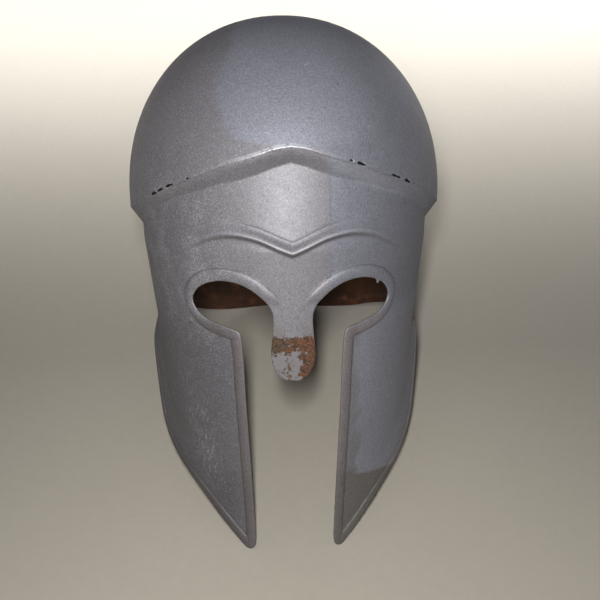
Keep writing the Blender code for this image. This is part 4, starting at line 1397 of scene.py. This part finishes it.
def coat_colour(f, cool, low, from_edge):
    """The two coats, the border's own tone, the places where the coat is thin, and lighter places: painted
    highlights on the bowl's middle and the step, and the cool coat's own lighter tone low on the guards.
    """
    colour = f.blend(cool, WARM, COOL)
    colour = f.blend(from_edge.rise(8.8, 7.6) * low * 0.85, colour, BORDER_TONE)
    bare = f.x.rise(20 * MM, 30 * MM) * f.z.rise(-168 * MM, -176 * MM) * (1 - cool)
    colour = f.blend(bare * 0.8, colour, BARE_PATCH)
    grain = 1.5 * (f.noise(1000, 3, 0.65) - 0.5)
    tint = 0.84 + 0.18 * f.noise(24, 4) + 0.14 * f.noise(190, 3) + grain
    # Painted highlights: the cool coat is lighter on the bowl's middle, and the step right of the nose is
    # lighter. Low on the guards the cool coat's lift is its own lighter tone.
    middle = f.z.rise(48 * MM, 58 * MM) * abs(f.x).rise(62 * MM, 25 * MM)
    step_highlight = (f.z + 0.48 * f.x - 52.4 * MM).hump(0, 8 * MM) * f.y.rise(0, -20 * MM)
    step_highlight = step_highlight * f.x.rise(18 * MM, 28 * MM) * f.x.rise(88 * MM, 64 * MM)
    tint = tint * (0.94 + 0.06 * cool + 0.2 * cool * (middle + low) + 0.34 * step_highlight)
    left_guard = f.x.rise(-18 * MM, -48 * MM) * f.z.rise(-42 * MM, -80 * MM) * f.y.rise(60 * MM, 0)
    thin_coat = 0.22 * left_guard + 0.14 * left_guard * f.z.rise(-160 * MM, -185 * MM) + 0.15 * bare
    return f.shade(colour, tint * (1 - thin_coat))


def crease_shade_and_coat_line(f, front, from_edge, above_brow):
    """Painted shade along the border's foot and under the brow, and a dark line between the two coats."""
    has_border = 1 - abs(f.x).rise(21 * MM, 16 * MM) * f.z.rise(-38 * MM, -46 * MM) * front
    border_foot = from_edge.hump(BORDER_FOOT, 0.7) * has_border * 0.62
    under_brow = above_brow.hump(-2.4, 2.4) * abs(f.x).rise(80 * MM, 45 * MM) * 0.6
    coat_line = f.x.hump(BROW_BORDER, 1.3 * MM) * f.z.hump(19 * MM, 27 * MM) * front * 0.3
    return border_foot.most(under_brow).most(coat_line)


print("the border's foot is darkened at this distance from the edge, in mm:", BORDER_FOOT)


# %% Put the primer together
def grey_primer(name, over_weld=False):
    f = Finish(name, IOR=1.5)
    cool = cool_coat(f)
    from_edge, above_brow = f.measure("edge"), f.measure("above_brow")
    low = f.z.rise(-55 * MM, -66 * MM)
    front = f.y.rise(0, -50 * MM)
    specks = dry_specks(f, spray_density(f)) * 0.45 + hairs(f) * 0.6
    light, dark = marks(f)
    # Painted shade in the border's crease and under the brow, a dark line between the coats, and real chips.
    shade_and_chips = crease_shade_and_coat_line(f, front, from_edge, above_brow).most(dark * 0.85)
    crest = above_brow.hump(0.5, 1.5) * abs(f.x).rise(72 * MM, 30 * MM)
    colour = coat_colour(f, cool, low, from_edge)
    colour = f.blend(specks.most(light * 0.6) * (1 - low * from_edge.rise(9, 7)), colour, DRY_SPRAY_AND_HIGHLIGHT)
    colour = f.blend(shade_and_chips, colour, DIRT_AND_SHADE)
    # Painted highlight: the brow's crest is lightened.
    colour = f.blend(crest * 0.2, colour, DRY_SPRAY_AND_HIGHLIGHT)
    colour = f.blend(from_edge.rise(1.0, 0.1) * 0.45, colour, BARE_PATCH)
    rough = 0.54 - 0.04 * cool + 0.10 * f.noise(160, 3) + 0.12 * specks
    metal = 0.4 * (1 - shade_and_chips)
    skin = f.noise(1150, 2) * 0.35 + f.noise(420, 2) * 0.35 + specks * 0.25
    if over_weld:
        pit = f.measure("pit")
        # Over the nose the seam is worn smoother (lower roughness), and its colour is lightened there as a
        # painted highlight.
        rubbed_and_highlight = f.x.hump(-14 * MM, 52 * MM) * front * f.noise(500, 3).rise(0.3, 0.55)
        rim = pit.hump(0.06, 0.05) * f.noise(900, 2).rise(0.35, 0.6)
        colour = f.blend(pit.rise(0.12, 0.4), colour, PIT_BLACK)
        colour = f.blend((rim * 0.25).most(rubbed_and_highlight * 0.4), colour, DRY_SPRAY_AND_HIGHLIGHT)
        rough = rough - 0.14 * rubbed_and_highlight
        skin = skin + 0.6 * f.noise(700, 3)
    else:
        worn, rust = worn_nasal(f)
        colour = f.blend(worn, colour, nasal_colour(f, rust))
        rough = rough + worn * (0.12 + 0.25 * rust)
        metal = metal * (1 - worn)
        skin = skin * (1 - worn) + worn * (rust * 0.7 + f.noise(600, 4) * 0.8)
    normal = f.bump(skin, 0.35, 0.08 * MM)
    print(name, "nodes:", len(f.tree.nodes))
    return f.connect(Base_Color=colour, Roughness=rough, Metallic=metal, Normal=normal)


primer = grey_primer("grey_primer_sprayed")
primer_on_weld = grey_primer("grey_primer_on_weld", over_weld=True)

# %% [markdown]
# ## Bare steel inside
#
# Nobody painted the inside. Mill scale and rust give it a deep brown with darker clouds, a few orange blooms
# and a dull metal shine. The inside of the weld keeps its blue and straw heat colours under the rust.


# %% Steel inside the shell
def bare_inside():
    f = Finish("rusty_steel_inside")
    scale = f.blend(f.noise(28, 5, 0.6).rise(0.35, 0.65), tone(74, 53, 42), tone(98, 66, 48))
    bloom = f.noise(85, 5, 0.6).rise(0.52, 0.68)
    colour = f.blend(bloom * 0.7, scale, tone(126, 74, 44))
    colour = f.blend(f.noise(430, 4).rise(0.56, 0.72) * 0.6, colour, tone(48, 37, 32))
    metal = (1 - bloom) * 0.45
    rough = 0.55 + 0.3 * bloom + 0.1 * f.noise(500, 3)
    normal = f.bump(f.noise(520, 4) + f.noise(60, 3), 0.4, 0.15 * MM)
    return f.connect(Base_Color=colour, Roughness=rough, Metallic=metal, Normal=normal)


def raw_weld():
    f = Finish("raw_weld_inside")
    heat = f.noise(120, 2)
    colour = f.blend(heat.rise(0.35, 0.5), tone(92, 84, 96), tone(134, 108, 80))
    colour = f.blend(f.noise(240, 5, 0.6).rise(0.48, 0.62) * 0.8, colour, tone(92, 58, 40))
    rough = 0.42 + 0.3 * f.noise(300, 3)
    normal = f.bump(f.noise(700, 3), 0.4, 0.12 * MM)
    return f.connect(Base_Color=colour, Roughness=rough, Metallic=0.7 + 0.1 * heat, Normal=normal)


inside_steel = bare_inside()
weld_steel = raw_weld()
skins = [(piece, primer, inside_steel) for piece in (face_plate, neck_guard, bowl)]
skins += [(piece, primer_on_weld, weld_steel) for piece in seam_welds + side_welds]
for piece, outside, within in skins:
    piece.data.materials.append(outside)
    piece.data.materials.append(within)
print("plates and welds finished:", len(skins))

# %% [markdown]
# ## Leather
#
# The liner is vegetable-tanned leather, russet brown, darker and smoother along its edges where they were
# burnished, with fine pores and long soft creases. The headband has one row of saddle stitch along each edge:
# a slanted light thread every four millimetres or so, in a shallow groove.

# %% Leather finishes
STITCH_PITCH = 4.2
BAND_MIDDLE = 14.0
STITCH_ROW = BAND_MIDDLE - 3.2
THREAD = tone(196, 176, 140)
BURNISHED = tone(52, 33, 22)


def leather(name, stitched=False):
    f = Finish(name)
    hide = f.blend(f.noise(38, 4).rise(0.3, 0.7), tone(104, 66, 40), tone(136, 90, 56))
    colour = f.shade(hide, 0.86 + 0.28 * f.noise(260, 4))
    cells = f.node("TexVoronoi", {"feature": "DISTANCE_TO_EDGE"}, {"Vector": f.place, "Scale": 720})
    pores = cells.rise(0, 0.09)
    creases = f.noise(95, 4, 0.6, stretch=(1, 1, 2.4))
    height = pores * 0.5 + creases * 0.9
    rough = 0.5 + 0.16 * f.noise(200, 3)
    if stitched:
        along, across = f.measure("along"), f.measure("across")
        row = abs(across - BAND_MIDDLE)
        slant = along + across * 0.35
        step = slant.maths("PINGPONG", slant, STITCH_PITCH / 2)
        thread = row.hump(STITCH_ROW, 0.55) * step.rise(0.45, 0.62)
        dent = row.hump(STITCH_ROW, 1.1)
        rim = row.rise(12.2, 13.8)
        colour = f.blend(rim * 0.65, colour, BURNISHED)
        colour = f.blend(dent * 0.35, colour, tone(58, 38, 26))
        colour = f.blend(thread, colour, THREAD)
        height = height - dent * 1.2 + thread * 1.6
        rough = rough - rim * 0.15
    normal = f.bump(height, 0.5, 0.18 * MM)
    return f.connect(Base_Color=colour, Roughness=rough, Normal=normal)


band_leather = leather("leather_stitched", stitched=True)
tongue_leather = leather("leather_plain")
headband.data.materials.append(band_leather)
for piece in tongues + [crown_disc]:
    piece.data.materials.append(tongue_leather)
print("pieces of plain leather:", len(tongues) + 1)

# %% [markdown]
# ## Small steel
#
# Rivets and washers are nickel-bright when new and dull in time, with brown in the hollows. The clips are
# rolled spring steel: fine lines along the strip, and blooms of rust here and there.


# %% Finishes of the fixings and clips
def tarnished_steel():
    f = Finish("tarnished_rivet_steel")
    dull = f.noise(420, 4).rise(0.4, 0.62)
    colour = f.blend(dull, tone(176, 172, 164), tone(120, 112, 102))
    radius = f.measure("radius")
    brown = radius.hump(2.2, 0.6) * 0.5 + f.noise(900, 3).rise(0.6, 0.7) * 0.4
    colour = f.blend(brown, colour, tone(88, 62, 44))
    rough = 0.26 + 0.22 * dull + 0.1 * f.noise(1600, 2)
    normal = f.bump(f.noise(1400, 3), 0.25, 0.05 * MM)
    return f.connect(Base_Color=colour, Roughness=rough, Metallic=1 - 0.5 * brown, Normal=normal)


def rolled_steel():
    f = Finish("rolled_clip_steel")
    lines = f.noise(900, 3, stretch=(1, 1, 0.05))
    rust = f.noise(150, 5, 0.6).rise(0.5, 0.66)
    steel = f.blend(lines, tone(112, 110, 108), tone(150, 148, 144))
    colour = f.blend(rust * 0.8, steel, tone(108, 66, 42))
    rough = 0.34 + 0.12 * lines + 0.35 * rust
    normal = f.bump(lines + rust * 0.8, 0.3, 0.06 * MM)
    return f.connect(Base_Color=colour, Roughness=rough, Metallic=0.95 - 0.7 * rust, Normal=normal)


rivet_steel, clip_steel = tarnished_steel(), rolled_steel()
for piece in fixings:
    piece.data.materials.append(rivet_steel)
for piece in clips:
    piece.data.materials.append(clip_steel)
print("fixings and clips finished:", len(fixings) + len(clips))

# %% [markdown]
# ## Camera
#
# The helmet is looked at from the front and above, from about 0.6 m. The place and the three angles are given
# in the helmet's own coordinates, because those are what fix how the face is seen.

# %% Place the camera
CAMERA_LENS = 51
CAMERA_PLACE = Vector((-0.0234, -0.6180, 0.1374))
CAMERA_TURN = math.radians(-3.234)
CAMERA_DIP = math.radians(20.04)
CAMERA_ROLL = math.radians(-0.5)


def make_camera():
    data = bpy.data.cameras.new("camera")
    data.lens = CAMERA_LENS
    data.sensor_width = 36
    data.clip_start = 50 * MM
    camera = bpy.data.objects.new("camera", data)
    bpy.context.scene.collection.objects.link(camera)
    level = math.cos(CAMERA_DIP)
    ahead = Vector((-math.sin(CAMERA_TURN) * level, math.cos(CAMERA_TURN) * level, -math.sin(CAMERA_DIP)))
    side = Vector((math.cos(CAMERA_TURN), math.sin(CAMERA_TURN), 0))
    head = side.cross(ahead)
    c, s = math.cos(CAMERA_ROLL), math.sin(CAMERA_ROLL)
    axes = Matrix((side * c + head * s, head * c - side * s, -ahead)).transposed().to_4x4()
    axes.translation = CAMERA_PLACE
    camera.matrix_world = HELMET @ axes
    bpy.context.scene.camera = camera
    return camera


camera = make_camera()
print("camera height over the table, in m:", round(camera.matrix_world.translation.z, 3))

# %% [markdown]
# ## Table, light and room
#
# One small lamp stands close to the camera, a little to its left, so the forehead takes the highlight and the
# sides fall away. A large weak lamp overhead, a weak one behind and the pale room fill the rest. The last one
# is turned away from the helmet and lights only the far part of the table. The table's colour is also
# painted lighter towards the back, as painted light that makes up for the lamps' falloff, so that the
# helmet stands out against it.

# %% Table and lamps
TABLE_NEAR = tone(158, 152, 141)
TABLE_FAR_PAINTED_LIGHT = tone(236, 231, 221)
ROOM_COLOUR = (0.93, 0.94, 1.0, 1)
ROOM_STRENGTH = 0.09


def make_table():
    half = 3.0
    corners = [(-half, -half, 0), (half, -half, 0), (half, half, 0), (-half, half, 0)]
    mesh = bpy.data.meshes.new("table")
    mesh.from_pydata(corners, [], [(0, 1, 2, 3)])
    table_top = bpy.data.objects.new("table", mesh)
    bpy.context.scene.collection.objects.link(table_top)
    f = Finish("pale_table")
    # Painted light: the table gets lighter towards the back, making up for the lamps' falloff.
    pale = f.blend(f.y.rise(0.05, 0.75), TABLE_NEAR, TABLE_FAR_PAINTED_LIGHT)
    colour = f.shade(pale, 0.9 + 0.1 * f.noise(5, 4) + 0.1 * f.noise(160, 4))
    mesh.materials.append(f.connect(Base_Color=colour, Roughness=0.62 + 0.1 * f.noise(40, 3)))


def make_lamp(name, place, target, size, watts, colour):
    """Rectangular lamp at a place, turned to a target; size is (width, height)."""
    lamp = bpy.data.lights.new(name, "AREA")
    lamp.shape = "RECTANGLE"
    lamp.size, lamp.size_y = size
    lamp.energy = watts
    lamp.color = colour
    stand = bpy.data.objects.new(name, lamp)
    bpy.context.scene.collection.objects.link(stand)
    stand.location = place
    stand.rotation_euler = (target - place).to_track_quat("-Z", "Y").to_euler()
    print(name, "at", [round(c, 2) for c in place], "watts:", watts)


def make_room():
    world = bpy.data.worlds.new("pale_room")
    world.use_nodes = True
    back = world.node_tree.nodes["Background"].inputs
    back["Color"].default_value = ROOM_COLOUR
    back["Strength"].default_value = ROOM_STRENGTH
    bpy.context.scene.world = world


make_table()
make_room()
face = HELMET @ Vector((0, -0.11, 0.01))
beside_camera = camera.matrix_world @ Vector((-0.016, 0.03, 0))
make_lamp("key_lamp", beside_camera, face, (0.03, 0.12), 5.1, (1.0, 0.99, 0.97))
make_lamp("top_lamp", Vector((-0.5, 0.2, 1.6)), Vector((0, 0, 0.1)), (1.4, 1.4), 1.2, (0.95, 0.97, 1.0))
make_lamp("rear_lamp", Vector((0.75, 0.95, 0.3)), Vector((0, 0.05, 0.15)), (0.5, 0.5), 0.8, (0.97, 0.98, 1.0))
make_lamp("far_lamp", Vector((0, 0.6, 1.3)), Vector((0, 3.6, 0)), (2.4, 0.8), 56.0, (1.0, 0.97, 0.93))
bpy.context.scene.view_settings.view_transform = "Standard"

# %% [markdown]
#
# Every fine piece takes the place of a packed one, so the box of the fine model has to agree with the packed
# box.
